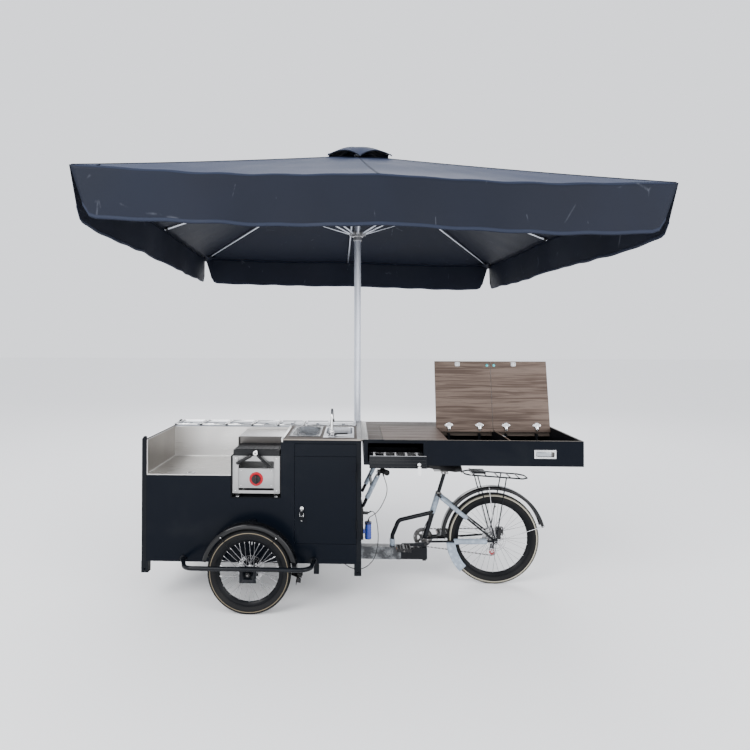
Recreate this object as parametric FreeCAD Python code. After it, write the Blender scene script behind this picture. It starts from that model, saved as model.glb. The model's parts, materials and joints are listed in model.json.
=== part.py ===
import FreeCAD, Part
import math
import os

V = FreeCAD.Vector

# ---------------------------------------------------------------- driving dimensions (mm)
# Frame: +X towards the rear wheel, +Y away from the serving side, +Z up.
# The origin is the floor point under the parasol pole.
RUN = 0.08            # radial clearance of a turning or sliding fit
GAP = 0.3             # gap between pieces that only pass each other

BOX_LENGTH = 1370     # serving box, along X
BOX_DEPTH = 720       # serving box, along Y
TOP_Z = 1028          # counter height
BODY_BOTTOM = 262     # underside of the box
POLE_GAP = 32         # pole axis to the back of the box
REAR_X = 20           # rear end of the box
PANEL = 12            # body panel thickness
POST = 30             # corner post section
LEG = 44              # foot block section
LEG_BOTTOM = 190      # underside of the foot blocks
LEG_HOLE_R = 6        # cross hole through each foot block
RAIL_H = 38           # bottom rail height
SHEET = 6             # folded steel liner

TRAY_FLOOR = 803      # floor of the open display tray
PAN_LINE = 209        # depth of the pan row behind the deck
DECK_Z = 1000         # steel deck behind the grill
NICHE_LENGTH = 306    # grill bay along X
NICHE_DEPTH = 240     # grill bay along Y
NICHE_FLOOR = 666     # grill shelf
SINK_LENGTH = 457     # sink section along X
TOP_THICK = 22        # wood counter over the sink
PAN_COUNT = 7
PAN_LENGTH = 176      # one food pan, along X
PAN_WIDTH = 162
PAN_DEEP = 100

DOOR_WIDTH = 380
DOOR_BOTTOM = 385     # above the wheel guard, which the door swings over
DOOR_HEIGHT = 536

WING_LENGTH = 1336    # folding counter, along X
WING_THICK = 155
WING_WALL = 15
WING_BACK = 36        # pole axis to the back of the wing
HINGE_X = 27          # folding hinge axis
HINGE_R = 6
LID_LENGTH = 500      # lid, along Y when shut
LID_THICK = 15
LID_OPEN = 100        # degrees the two open lids stand at
STRIP = 122           # fixed strip beside the hinge
DRAWER_WIDTH = 328
DRAWER_DEEP = 54
DRAWER_LONG = 330
DRAWER_OUT = 178      # how far the cash drawer stands out

FRONT_R = 252.5       # front tyre radius
REAR_R = 305          # rear tyre radius
TRACK = 918           # front wheels, centre to centre
FRONT_WHEEL_X = -653
REAR_WHEEL_X = 913
TYRE_WIDTH = 48
SPOKES = 36
AXLE_R = 7

PIVOT_X = -350        # steering pivot under the box
BB_X = 451            # pedal crank axis
BB_Z = 281
SEAT_SLOPE = 0.3      # seat tube, X per Z
SEAT_TOP_Z = 608
SADDLE_Z = 760
CRANK = 150
CHAIN_Y = 51          # chain line from the middle plane
RING_R = 56
COG_R = 40

CANOPY_HALF = 1474    # half the side of the square canopy
CANOPY_TURN = 3.5     # degrees the parasol is turned about its pole
EAVE_Z = 2442
EAVE_LEAN = 0.02      # drop of the eaves per millimetre along +X
APEX_Z = 2982         # where the rib lines meet
VALANCE = 250
POLE_R = 24
RIB_R = 8
RUNNER_Z = 2440
VENT_HALF = 235
VENT_EAVE = 2978
VENT_TOP = 3122
CLOTH = 4             # canopy thickness

# ---------------------------------------------------------------- worked-out places
FRONT_X = REAR_X - BOX_LENGTH
BACK_Y = -POLE_GAP
NEAR_Y = BACK_Y - BOX_DEPTH
MID_Y = (NEAR_Y + BACK_Y) / 2
SINK_X1 = REAR_X - POST
SINK_X0 = SINK_X1 - SINK_LENGTH
BULKHEAD_X0 = SINK_X0 - 2 * SHEET
NICHE_X0 = BULKHEAD_X0 - NICHE_LENGTH
PART_X0 = NICHE_X0 - SHEET
TRAY_X0 = FRONT_X + POST
PAN_Y0 = BACK_Y - PAN_LINE
NICHE_BACK = NEAR_Y + NICHE_DEPTH
WING_X0 = HINGE_X + 7
WING_X1 = WING_X0 + WING_LENGTH
WING_Y0 = NEAR_Y
WING_Y1 = -WING_BACK
WING_Z0 = TOP_Z - WING_THICK
HINGE_Z = TOP_Z + 3
LID_Z = TOP_Z - LID_THICK
LID_X0 = WING_X0 + STRIP
LID_EDGE_Y = WING_Y0 + WING_WALL + LID_LENGTH + 3   # back edge of a shut lid
LID_AXIS_Y = LID_EDGE_Y - 17                        # axis of the lid hinges
LID_BACK_Y = LID_EDGE_Y + 6.5                       # front edge of the fixed back strip
NEAR_WHEEL_Y = MID_Y - TRACK / 2
FAR_WHEEL_Y = MID_Y + TRACK / 2
BATTEN = 18           # right-hand end rail beside the lids


# ---------------------------------------------------------------- helpers
def box(x0, x1, y0, y1, z0, z1):
    return Part.makeBox(x1 - x0, y1 - y0, z1 - z0, V(x0, y0, z0))


def rod(p, q, r):
    a, b = V(*p), V(*q)
    return Part.makeCylinder(r, (b - a).Length, a, b - a)


def disc(centre, axis, r, thick, bore=0):
    c, n = V(*centre), V(*axis)
    n.normalize()
    base = c - n * (thick / 2)
    body = Part.makeCylinder(r, thick, base, n)
    return body.cut(Part.makeCylinder(bore, thick, base, n)) if bore else body


def fuse(shapes):
    return shapes[0].multiFuse(shapes[1:]).removeSplitter() if len(shapes) > 1 else shapes[0]


def prism(points, vector):
    """A flat outline of 3-D points, extruded along a vector."""
    corners = [V(*p) for p in points]
    return Part.Face(Part.makePolygon(corners + corners[:1])).extrude(V(*vector))


def ring(profile, centre):
    """A closed (radius, offset) outline turned about an axle along Y."""
    cx, cy, cz = centre
    corners = [V(cx + r, cy + o, cz) for r, o in profile]
    face = Part.Face(Part.makePolygon(corners + corners[:1]))
    return face.revolve(V(cx, cy, cz), V(0, 1, 0), 360)


def bent_path(points, radius=None, ends=True):
    """Straight runs joined by tangent arcs; returns the wire and each arc's radius."""
    pts = [V(*p) for p in points]
    edges, radii, start = [], [], pts[0]
    for a, b, c in zip(pts, pts[1:], pts[2:]):
        u, w = (a - b).normalize(), (c - b).normalize()
        half = (math.pi - u.getAngle(w)) / 2
        run = min((a - b).Length, (c - b).Length)
        r = 0.45 * run / math.tan(half) if radius is None else radius
        cut = r * math.tan(half)
        p, q = b + u * cut, b + w * cut
        mid = (u + w).normalize()
        top = b + mid * (r / math.cos(half) - r)
        edges += [Part.LineSegment(start, p).toShape(), Part.Arc(p, top, q).toShape()]
        radii.append(round(r, 1))
        start = q
    edges.append(Part.LineSegment(start, pts[-1]).toShape())
    return Part.Wire(edges), radii


def tube(points, r, radius=None, bore=0):
    wire, _ = bent_path(points, radius)
    first = V(*points[1]) - V(*points[0])
    circle = Part.Wire(Part.makeCircle(r, V(*points[0]), first))
    body = wire.makePipeShell([circle], True, False)
    if bore:
        hole = Part.Wire(Part.makeCircle(bore, V(*points[0]), first))
        body = body.cut(wire.makePipeShell([hole], True, False))
    return body


def save(name, shapes):
    solids = [s for shape in shapes for s in shape.Solids]
    for solid in solids:
        assert solid.isValid() and solid.Volume > 0, name
    Part.makeCompound(solids).exportStep("parts/" + name + ".step")


def mirrored(shape):
    """The same piece on the other side of the middle plane."""
    return shape.mirror(V(0, MID_Y, 0), V(0, 1, 0))


# ---------------------------------------------------------------- box: frame and skins
def chassis():
    near, far = NEAR_Y + PANEL, BACK_Y - PANEL
    z0, z1 = BODY_BOTTOM, BODY_BOTTOM + RAIL_H
    post_x = (FRONT_X, REAR_X - POST)
    solids = []
    for x in post_x:
        for y in (NEAR_Y, BACK_Y - POST):
            top = TOP_Z - 4 if x == FRONT_X else TOP_Z - TOP_THICK
            solids.append(box(x, x + POST, y, y + POST, z0, top))
    for y0, y1 in ((near, near + POST), (far - POST, far)):
        solids.append(box(FRONT_X + POST, REAR_X - POST, y0, y1, z0, z1))
    for x0 in (FRONT_X + PANEL, REAR_X - PANEL - POST):
        solids.append(box(x0, x0 + POST, near + POST, far - POST, z0, z1))
    for x0 in (PIVOT_X - 110, PIVOT_X + 110 - POST, FRONT_WHEEL_X - POST / 2):
        solids.append(box(x0, x0 + POST, near + POST, far - POST, z0, z1))
    solids.append(box(PIVOT_X - 80, PIVOT_X + 80, MID_Y - 60, MID_Y + 60, z0, z0 + 10))
    return solids + feet() + [front_beam(), pivot_pin()] + post_caps()


def feet():
    """Foot blocks with a cross hole for a jack or tie-down pin."""
    blocks = []
    hole_z = LEG_BOTTOM + 22
    for x in (FRONT_X - 2, REAR_X - LEG):
        for y in (NEAR_Y, BACK_Y - LEG):
            block = box(x, x + LEG, y, y + LEG, LEG_BOTTOM, BODY_BOTTOM)
            mid = x + LEG / 2
            blocks.append(block.cut(rod((mid, y - 1, hole_z), (mid, y + LEG + 1, hole_z), LEG_HOLE_R)))
    stub_x = REAR_X - 294
    blocks.append(box(stub_x, stub_x + 32, NEAR_Y + PANEL, NEAR_Y + PANEL + POST, LEG_BOTTOM + 3, BODY_BOTTOM))
    return blocks


def front_beam():
    """Cross beam under the box with the two inner wheel plates and axle stubs."""
    half = TRACK / 2
    beam = box(FRONT_WHEEL_X - 19, FRONT_WHEEL_X + 19, MID_Y - half + 49, MID_Y + half - 49,
               BODY_BOTTOM - 38, BODY_BOTTOM)
    pieces = [beam]
    for side in (-1, 1):
        y_in, y_out = MID_Y + side * (half - 49), MID_Y + side * (half - 43)
        pieces.append(box(FRONT_WHEEL_X - 45, FRONT_WHEEL_X + 45, min(y_in, y_out), max(y_in, y_out),
                          BODY_BOTTOM - 60, BODY_BOTTOM + 30))
        pieces.append(rod((FRONT_WHEEL_X, y_out, FRONT_R), (FRONT_WHEEL_X, MID_Y + side * (half + 54), FRONT_R),
                          AXLE_R))
    return fuse(pieces)


def pivot_pin():
    pin = rod((PIVOT_X, MID_Y, 146), (PIVOT_X, MID_Y, BODY_BOTTOM), 15)
    nut = rod((PIVOT_X, MID_Y, 146), (PIVOT_X, MID_Y, 159.7), 26)
    return fuse([pin, nut])


def post_caps():
    caps = []
    for y in (NEAR_Y + POST / 2, BACK_Y - POST / 2):
        x = FRONT_X + POST / 2
        dome = Part.makeSphere(14, V(x, y, TOP_Z - 4), V(0, 0, 1), 0, 90, 360)
        caps.append(dome)
    return caps


def near_panel():
    y0 = NEAR_Y
    steps = [(TRAY_X0, BODY_BOTTOM), (SINK_X1, BODY_BOTTOM), (SINK_X1, TOP_Z - TOP_THICK),
             (BULKHEAD_X0, TOP_Z - TOP_THICK), (BULKHEAD_X0, NICHE_FLOOR - SHEET),
             (PART_X0, NICHE_FLOOR - SHEET), (PART_X0, TRAY_FLOOR - SHEET), (TRAY_X0, TRAY_FLOOR - SHEET)]
    plate = prism([(x, y0, z) for x, z in steps], (0, PANEL, 0))
    door_top = DOOR_BOTTOM + DOOR_HEIGHT + 2
    hole = box(SINK_X1 - DOOR_WIDTH - 4, SINK_X1 + 1, y0 - 1, y0 + PANEL + 1, DOOR_BOTTOM - 2, door_top)
    seam_x = SINK_X1 - DOOR_WIDTH - 4
    seam = box(seam_x, seam_x + 2, y0 - 1, y0 + 2, door_top, TOP_Z - 30)
    seam = seam.fuse(box(seam_x, SINK_X1 + 1, y0 - 1, y0 + 2, TOP_Z - 30, TOP_Z - 28))
    return plate.cut(hole).cut(seam)


def end_panel(x0, top):
    return box(x0, x0 + PANEL, NEAR_Y + POST, BACK_Y - POST, BODY_BOTTOM, top)


def far_panel():
    return box(TRAY_X0, SINK_X1, BACK_Y - PANEL, BACK_Y, BODY_BOTTOM, TOP_Z - TOP_THICK)


def floor_pan():
    z0 = BODY_BOTTOM + RAIL_H
    sheet = box(FRONT_X + PANEL, REAR_X - PANEL, NEAR_Y + PANEL, BACK_Y - PANEL, z0, z0 + SHEET)
    for x in (FRONT_X, REAR_X - POST):
        for y in (NEAR_Y, BACK_Y - POST):
            sheet = sheet.cut(box(x - 1, x + POST + 1, y - 1, y + POST + 1, z0 - 1, z0 + SHEET + 1))
    return sheet


def steel_liner():
    """Open display tray, grill bay and deck, folded from sheet."""
    near, wall_y = NEAR_Y + 1, PAN_Y0 - SHEET
    x_mid = PART_X0
    pieces = [
        box(TRAY_X0, x_mid + SHEET, near, PAN_Y0, TRAY_FLOOR - SHEET, TRAY_FLOOR),
        box(TRAY_X0, TRAY_X0 + SHEET, near, PAN_Y0, TRAY_FLOOR, TOP_Z - 10),
        box(TRAY_X0, SINK_X0 - SHEET, wall_y, PAN_Y0, TRAY_FLOOR, TOP_Z - 10),
        box(x_mid, x_mid + SHEET, near, wall_y, NICHE_FLOOR - SHEET, TRAY_FLOOR + 117),
        box(x_mid, x_mid + SHEET, NICHE_BACK - 27, wall_y, TRAY_FLOOR + 117, DECK_Z),
        box(NICHE_X0, BULKHEAD_X0, near, NICHE_BACK, NICHE_FLOOR - SHEET, NICHE_FLOOR),
        box(NICHE_X0, BULKHEAD_X0, NICHE_BACK - SHEET, NICHE_BACK, NICHE_FLOOR, DECK_Z),
        box(NICHE_X0, BULKHEAD_X0, NICHE_BACK - SHEET, wall_y, DECK_Z - SHEET, DECK_Z),
        box(BULKHEAD_X0, BULKHEAD_X0 + SHEET, NEAR_Y + PANEL, wall_y, NICHE_FLOOR - SHEET, DECK_Z),
        box(BULKHEAD_X0, BULKHEAD_X0 + 2 * SHEET, NEAR_Y + PANEL, wall_y, DECK_Z - SHEET, TOP_Z + 1),
    ]
    drain = rod((TRAY_X0 + 269, near + 35, TRAY_FLOOR - 7), (TRAY_X0 + 269, near + 35, TRAY_FLOOR + 1), 8)
    return fuse(pieces).cut(drain)


def pan_set():
    """Row of food pans with lids in a punched frame along the back."""
    x0, x1 = TRAY_X0, SINK_X1
    y0, y1 = PAN_Y0, BACK_Y - PANEL
    frame_top = TOP_Z - 10
    plate = box(x0, x1, y0, y1, frame_top - SHEET, frame_top)
    pitch = (x1 - x0) / PAN_COUNT
    solids = []
    mid_y = (y0 + y1) / 2
    for i in range(PAN_COUNT):
        cx = x0 + pitch * (i + 0.5)
        hx, hy = PAN_LENGTH / 2, PAN_WIDTH / 2
        outer = box(cx - hx + 8, cx + hx - 8, mid_y - hy + 8, mid_y + hy - 8, frame_top - PAN_DEEP, frame_top)
        inner = box(cx - hx + 9.5, cx + hx - 9.5, mid_y - hy + 9.5, mid_y + hy - 9.5,
                    frame_top - PAN_DEEP + 1.5, frame_top + 3)
        flange = box(cx - hx, cx + hx, mid_y - hy, mid_y + hy, frame_top, frame_top + 2)
        plate = plate.cut(box(cx - hx + 7.5, cx + hx - 7.5, mid_y - hy + 7.5, mid_y + hy - 7.5,
                              frame_top - SHEET - 1, frame_top + 1))
        lid = box(cx - hx + 2, cx + hx - 2, mid_y - hy + 2, mid_y + hy - 2, frame_top + 2, frame_top + 4)
        knob = rod((cx, mid_y, frame_top + 4), (cx, mid_y, frame_top + 14), 11)
        solids += [outer.fuse(flange).cut(inner), lid.fuse(knob)]
        if i:
            edge = cx - pitch / 2
            solids.append(box(edge - 3, edge + 3, y0 + 6, y1 - 2, frame_top, frame_top + 8))
    return [plate] + solids


# ---------------------------------------------------------------- sink section
BOWL = (SINK_X0 + 42, SINK_X0 + 217, NEAR_Y + 97, PAN_Y0 - 44)
SINK = (SINK_X0 + 255, SINK_X0 + 432, NEAR_Y + 62, PAN_Y0 - 59)
TAP = (SINK_X0 + 299, NEAR_Y + 122)
TAP_TOP = TOP_Z + 172


def sink_top():
    z0 = TOP_Z - TOP_THICK
    top = box(SINK_X0, REAR_X, NEAR_Y, PAN_Y0, z0, TOP_Z)
    top = top.fuse(box(SINK_X1, REAR_X, PAN_Y0, BACK_Y, z0, TOP_Z)).removeSplitter()
    for x0, x1, y0, y1 in (BOWL, SINK):
        top = top.cut(box(x0, x1, y0, y1, z0 - 1, TOP_Z + 1))
    return top


def sink_bowls():
    bowls = []
    for (x0, x1, y0, y1), deep, deck in ((BOWL, 150, 0), (SINK, 130, 120)):
        outer = box(x0 + 1, x1 - 1, y0 + 1, y1 - 1, TOP_Z - deep, TOP_Z)
        flange = box(x0 - 9, x1 + 9, y0 - 9, y1 + 9, TOP_Z, TOP_Z + 2)
        hollow = box(x0 + 3, x1 - 3, y0 + 3 + deck, y1 - 3, TOP_Z - deep + 2, TOP_Z + 3)
        if deck:
            outer = outer.cut(box(x0, x1, y0, y0 + deck, TOP_Z - deep - 1, TOP_Z - 4))
        bowls.append(outer.fuse(flange).cut(hollow).removeSplitter())
    return bowls


def faucet_body():
    x, y = TAP
    return rod((x, y, TOP_Z + 2), (x, y, TOP_Z + 24), 21)


def faucet_spout():
    x, y = TAP
    r = 60
    top = TAP_TOP - r - 9
    neck = tube([(x, y, TOP_Z + 24 + GAP), (x, y, top + r), (x, y + 2 * r, top + r), (x, y + 2 * r, top - 14)],
                9, radius=r * 0.96)
    tip = rod((x, y + 2 * r, top - 30), (x, y + 2 * r, top - 10), 12)
    collar = rod((x, y, TOP_Z + 24 + GAP), (x, y, TOP_Z + 34), 15)
    return fuse([neck, tip, collar])


def faucet_lever():
    x, y = TAP
    z = TOP_Z + 13
    hub = rod((x + 28, y - 8, z), (x + 28, y + 8, z), 6.7)
    bar = rod((x + 33, y, z), (x + 102, y, z + 3), 5)
    return fuse([hub, bar])


def water_tanks():
    tanks = []
    z0 = BODY_BOTTOM + RAIL_H + SHEET
    for x0, x1 in ((SINK_X0 + 25, SINK_X0 + 215), (SINK_X0 + 235, SINK_X0 + 425)):
        can = box(x0, x1, NEAR_Y + 60, NEAR_Y + 330, z0, z0 + 300)
        neck = rod(((x0 + x1) / 2, NEAR_Y + 110, z0 + 300), ((x0 + x1) / 2, NEAR_Y + 110, z0 + 330), 26)
        tanks.append(can.fuse(neck))
    return tanks


def side_door():
    x1 = SINK_X1 - 2
    x0 = x1 - DOOR_WIDTH
    y0, z0 = NEAR_Y, DOOR_BOTTOM
    door = box(x0, x1, y0, y0 + PANEL, z0, z0 + DOOR_HEIGHT)
    solids = [door]
    for z in (z0 + 90, z0 + DOOR_HEIGHT - 150):
        leaf = box(x1 - 30, x1 + 1, y0 - 1.5, y0, z, z + 60)
        solids.append(leaf.fuse(rod((x1 + 1, y0 - 4.5, z), (x1 + 1, y0 - 4.5, z + 60), 4)))
    lock_x, lock_z = x0 + 45, TOP_Z - 425
    solids.append(disc((lock_x, y0 - 3, lock_z), (0, 1, 0), 11, 6))
    solids.append(box(lock_x - 1, lock_x + 1, y0 - 24, y0 - 6, lock_z - 10, lock_z + 10))
    solids.append(box(lock_x - 10, lock_x + 10, y0 - 22, y0 - 20, lock_z - 70, lock_z - 10.2))
    return solids


# ---------------------------------------------------------------- grill
GRILL_X0 = NICHE_X0 + 6
GRILL_X1 = BULKHEAD_X0 - 6
GRILL_Y0 = NEAR_Y + 2
GRILL_Y1 = GRILL_Y0 + 208
GRILL_Z0 = NICHE_FLOOR + 24
GRILL_TOP = GRILL_Z0 + 231
PLATE_THICK = 17
GRILL_MID = (GRILL_X0 + GRILL_X1) / 2


def grill_body():
    x0, x1, y0, y1 = GRILL_X0, GRILL_X1, GRILL_Y0, GRILL_Y1
    shell = box(x0, x1, y0, y1, GRILL_Z0, GRILL_TOP)
    shell = shell.cut(box(x0 + 2, x1 - 2, y0 + 8, y1 - 2, GRILL_Z0 - 1, GRILL_TOP - 2))
    shell = shell.cut(box(x0 + 37, x1 - 37, y0 - 1, y0 + 9, GRILL_TOP - 78, GRILL_TOP - 32))
    shell = shell.cut(box(x0 + 37, x1 - 37, y0 - 1, y0 + 9, GRILL_Z0 + 18, GRILL_Z0 + 32))
    shell = shell.cut(box(x0 + 37, x1 - 37, y0 - 1, y0 + 3, GRILL_Z0 + 32, GRILL_TOP - 78))
    solids = [shell]
    for x in (x0 + 26, x1 - 26):
        for y in (y0 + 22, y1 - 22):
            foot = rod((x, y, NICHE_FLOOR), (x, y, NICHE_FLOOR + 12), 15)
            solids.append(foot.fuse(rod((x, y, NICHE_FLOOR + 12), (x, y, GRILL_Z0), 6)))
            solids.append(box(x - 14, x + 14, y - 14, y + 14, GRILL_Z0, GRILL_Z0 + 3))
    solids = [shell.fuse([s for s in solids if s.BoundBox.ZMin >= GRILL_Z0 - 0.1][1:])] + \
             [s for s in solids if s.BoundBox.ZMin < GRILL_Z0 - 0.1]
    knob_z = GRILL_Z0 + 89
    solids.append(disc((GRILL_MID, y0 + 1.5, knob_z), (0, 1, 0), 40, 3, 9))
    solids.append(box(x0 + 3, x1 - 3, y0 + 4, y1, GRILL_TOP, GRILL_TOP + PLATE_THICK))
    grip = rod((GRILL_MID - 27, y0 - 25, GRILL_TOP + 6), (x0 + 33, y0 - 25, GRILL_TOP - 40), 9)
    solids.append(grip.fuse(box(GRILL_MID - 42, GRILL_MID - 28, y0 - 25, y0 + 4, GRILL_TOP + 1, GRILL_TOP + 11)))
    return solids


def grill_top():
    z0 = GRILL_TOP + PLATE_THICK + GAP
    plate = box(GRILL_X0 + 3, GRILL_X1 - 3, GRILL_Y0 + 4, GRILL_Y1, z0, z0 + 19)
    stub = box(GRILL_MID - 7, GRILL_MID + 7, GRILL_Y0 - 16, GRILL_Y0 + 4, z0 + 1, z0 + 13)
    grip = rod((GRILL_MID + 2, GRILL_Y0 - 25, z0 + 2), (GRILL_X1 - 62, GRILL_Y0 - 25, GRILL_TOP - 60), 8.5)
    knob = disc((GRILL_MID, GRILL_Y0 - 25, z0 + 7), (0, 1, 0), 13, 18)
    return [fuse([plate, stub]), fuse([knob, grip])]


def grill_knob():
    z = GRILL_Z0 + 89
    y = GRILL_Y0
    skirt = disc((GRILL_MID, y - 5, z), (0, 1, 0), 27, 9.4)
    wing = box(GRILL_MID - 6, GRILL_MID + 6, y - 22, y - 9.7, z - 25, z + 25)
    shaft = rod((GRILL_MID, y - 1, z), (GRILL_MID, y + 2.9, z), 8.5)
    return fuse([skirt, wing, shaft])


# ---------------------------------------------------------------- folding counter
WALL_TOP = TOP_Z
BIN_X = (LID_X0 + 395, LID_X0 + 795)     # dividers between the bins
LID_PITCH = (WING_X1 - BATTEN - LID_X0 + 3) / 3
HINGES = (90, 304)                        # lid hinges from a lid's left edge


def wing_case():
    """Boards of the folding counter. The front is framed up round the drawer slot and the handle."""
    x0, x1, y0, y1, w = WING_X0, WING_X1, WING_Y0, WING_Y1, WING_WALL
    slot_x0, slot_x1, slot_z0, slot_z1 = x0 + 26, x0 + 38 + DRAWER_WIDTH, WING_Z0 + 20, TOP_Z - 20
    grip_x0, grip_x1, grip_z0, grip_z1 = WING_X1 - 292, WING_X1 - 172, TOP_Z - 101, TOP_Z - 61
    solids = [box(a, b, y0, y0 + w, low, high) for a, b, low, high in (
        (x0, slot_x0, WING_Z0, TOP_Z), (slot_x0, slot_x1, WING_Z0, slot_z0), (slot_x0, slot_x1, slot_z1, TOP_Z),
        (slot_x1, grip_x0, WING_Z0, TOP_Z), (grip_x0, grip_x1, WING_Z0, grip_z0),
        (grip_x0, grip_x1, grip_z1, TOP_Z), (grip_x1, x1, WING_Z0, TOP_Z))]
    solids += [box(x1 - w, x1, y0 + w, y1, WING_Z0, TOP_Z),
               box(x0, x0 + w, y0 + w, y1, WING_Z0, LID_Z), box(x0 + w, x1 - w, y1 - w, y1, WING_Z0, LID_Z),
               box(x0 + w, x1 - w, y0 + w, y1 - w, WING_Z0, WING_Z0 + SHEET)]
    inner_y0, inner_y1 = y0 + w, y1 - w
    swing = math.hypot(LID_EDGE_Y - LID_AXIS_Y, LID_THICK) + 1
    relief = rod((x0, LID_AXIS_Y, LID_Z), (x1, LID_AXIS_Y, LID_Z), swing)
    for x in [drawer_x1() + 14] + list(BIN_X):
        divider = box(x, x + 8, inner_y0, inner_y1, WING_Z0 + SHEET, LID_Z - GAP)
        solids.append(divider.cut(relief))
    for x, end in ((x0 + w, drawer_x0() - GAP), (drawer_x1() + GAP, drawer_x1() + 14)):
        solids.append(box(x, end, inner_y0, inner_y0 + DRAWER_LONG, WING_Z0 + 26, WING_Z0 + 36))
    for lid in (0, 1, 2):
        for dx in HINGES:
            cx = LID_X0 + lid * LID_PITCH + dx
            solids.append(box(cx - 8, cx + 8, LID_BACK_Y - 22, LID_BACK_Y, LID_Z - 75, LID_Z - 32))
    return solids


def wing_top():
    z0, z1 = LID_Z, TOP_Z
    y0, y1 = WING_Y0 + WING_WALL, WING_Y1
    strip = box(WING_X0, LID_X0 - 2, y0, y1, z0, z1)
    back = box(LID_X0 - 2, WING_X1 - WING_WALL, LID_BACK_Y, y1, z0, z1)
    solids = [fuse([strip, back])]
    xs = [WING_X0 + WING_WALL, drawer_x1() + 22] + [b + 8 for b in BIN_X]
    ends = [drawer_x1() + 14] + list(BIN_X) + [WING_X1 - WING_WALL]
    for a, b in zip(xs, ends):
        solids.append(box(a, b, LID_BACK_Y, LID_BACK_Y + 14, LID_Z - 50, LID_Z))
    return solids


def hinge_leaf(x_in, x_out, odd):
    """One leaf of the long folding hinge, with every second knuckle."""
    leaf = box(min(x_in, x_out), max(x_in, x_out), WING_Y0 + 2, WING_Y1 - 2, TOP_Z, TOP_Z + 2)
    knuckle = 64
    count = int((WING_Y1 - WING_Y0 - 4) // knuckle)
    leaf = leaf.cut(rod((HINGE_X, WING_Y0, HINGE_Z), (HINGE_X, WING_Y1, HINGE_Z), HINGE_R + GAP))
    pieces = [leaf]
    toward = 1 if x_in < x_out else -1
    for i in range(odd, count, 2):
        y0, y1 = WING_Y0 + 2 + i * knuckle + GAP, WING_Y0 + 2 + (i + 1) * knuckle - GAP
        x0, x1 = sorted((x_out - 4 * toward, HINGE_X))
        pieces.append(box(x0, x1, y0, y1, TOP_Z, TOP_Z + 2))
        pieces.append(rod((HINGE_X, y0, HINGE_Z), (HINGE_X, y1, HINGE_Z), HINGE_R))
    return pieces


def box_hinge_leaf():
    pieces = hinge_leaf(REAR_X - 28, REAR_X + 1.5, 0)
    pin = rod((HINGE_X, WING_Y0 + 4, HINGE_Z), (HINGE_X, WING_Y1 - 20, HINGE_Z), 2)
    return fuse(pieces + [pin])


def wing_hinge_leaf():
    leaf = fuse(hinge_leaf(WING_X0 + 28, WING_X0 - 1.5, 1))
    leaf = leaf.cut(rod((HINGE_X, WING_Y0, HINGE_Z), (HINGE_X, WING_Y1, HINGE_Z), 2 + RUN))
    return leaf


def flush_handle():
    x0, x1 = WING_X1 - 298, WING_X1 - 166
    z0, z1 = TOP_Z - 107, TOP_Z - 54
    plate = box(x0, x1, WING_Y0 - 2, WING_Y0, z0, z1)
    cup = box(x0 + 8, x1 - 8, WING_Y0 - 2, WING_Y0 + 12, z0 + 8, z1 - 9)
    hollow = box(x0 + 10, x1 - 10, WING_Y0 - 3, WING_Y0 + 10, z0 + 10, z1 - 11)
    return fuse([plate, cup]).cut(hollow)


def lid(index, opened):
    x0 = LID_X0 + index * LID_PITCH
    x1 = x0 + LID_PITCH - 3
    y0, y1 = LID_EDGE_Y - LID_LENGTH, LID_EDGE_Y
    panel = box(x0, x1, y0, y1, LID_Z, TOP_Z)
    solids = [panel]
    for dx in HINGES:
        cx = x0 + dx
        cup = rod((cx, y1 - 45, LID_Z - 3), (cx, y1 - 45, LID_Z), 17.5)
        arm = box(cx - 7, cx + 7, y1 - 45, y1 - 8, LID_Z - 8, LID_Z)
        solids.append(cup.fuse(arm))
    solids.append(box(x0 + 150, x0 + 176, y0 + 8, y0 + 34, LID_Z - 2, LID_Z))
    if opened:
        for s in solids:
            s.rotate(V(0, LID_AXIS_Y, LID_Z), V(-1, 0, 0), LID_OPEN)
    return solids


def drawer_x0():
    return WING_X0 + 32


def drawer_x1():
    return drawer_x0() + DRAWER_WIDTH


def cash_drawer():
    x0, x1 = drawer_x0(), drawer_x1()
    y0 = WING_Y0 + 12 - DRAWER_OUT
    z0 = WING_Z0 + 23
    y1 = y0 + DRAWER_LONG
    z1 = z0 + DRAWER_DEEP
    solids = [box(x0, x1, y0, y1, z0, z0 + 3), box(x0, x0 + 2, y0, y1, z0 + 3, z1),
              box(x1 - 2, x1, y0, y1, z0 + 3, z1), box(x0 + 2, x1 - 2, y1 - 2, y1, z0 + 3, z1),
              box(x0 - 3, x1 + 3, y0 - 12, y0, z0, z1 + 16)]
    step = (x1 - x0) / 5
    for i in range(1, 5):
        cx = x0 + step * i
        solids.append(box(cx - 1, cx + 1, y0, y0 + 190, z0 + 3, z0 + DRAWER_DEEP - 4))
    for i in range(5):
        cx = x0 + step * (i + 0.5)
        solids.append(box(cx - 6, cx + 6, y0 + 60, y0 + 188, z0 + 34, z0 + 38))
        solids.append(box(cx - 6, cx + 6, y0 + 188, y0 + 192, z0 + 3, z0 + 46))
    solids.append(box(x0 + 2, x1 - 2, y0 + 192, y0 + 194, z0 + 3, z0 + DRAWER_DEEP - 4))
    lock_x, lock_z = x1 - 42, z0 + 24
    solids.append(disc((lock_x, y0 - 15, lock_z), (0, 1, 0), 10, 6))
    solids.append(box(lock_x - 1, lock_x + 1, y0 - 34, y0 - 18, lock_z - 9, lock_z + 9))
    solids.append(box(lock_x - 9, lock_x + 9, y0 - 32, y0 - 30, lock_z - 58, lock_z - 9.2))
    return solids


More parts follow.
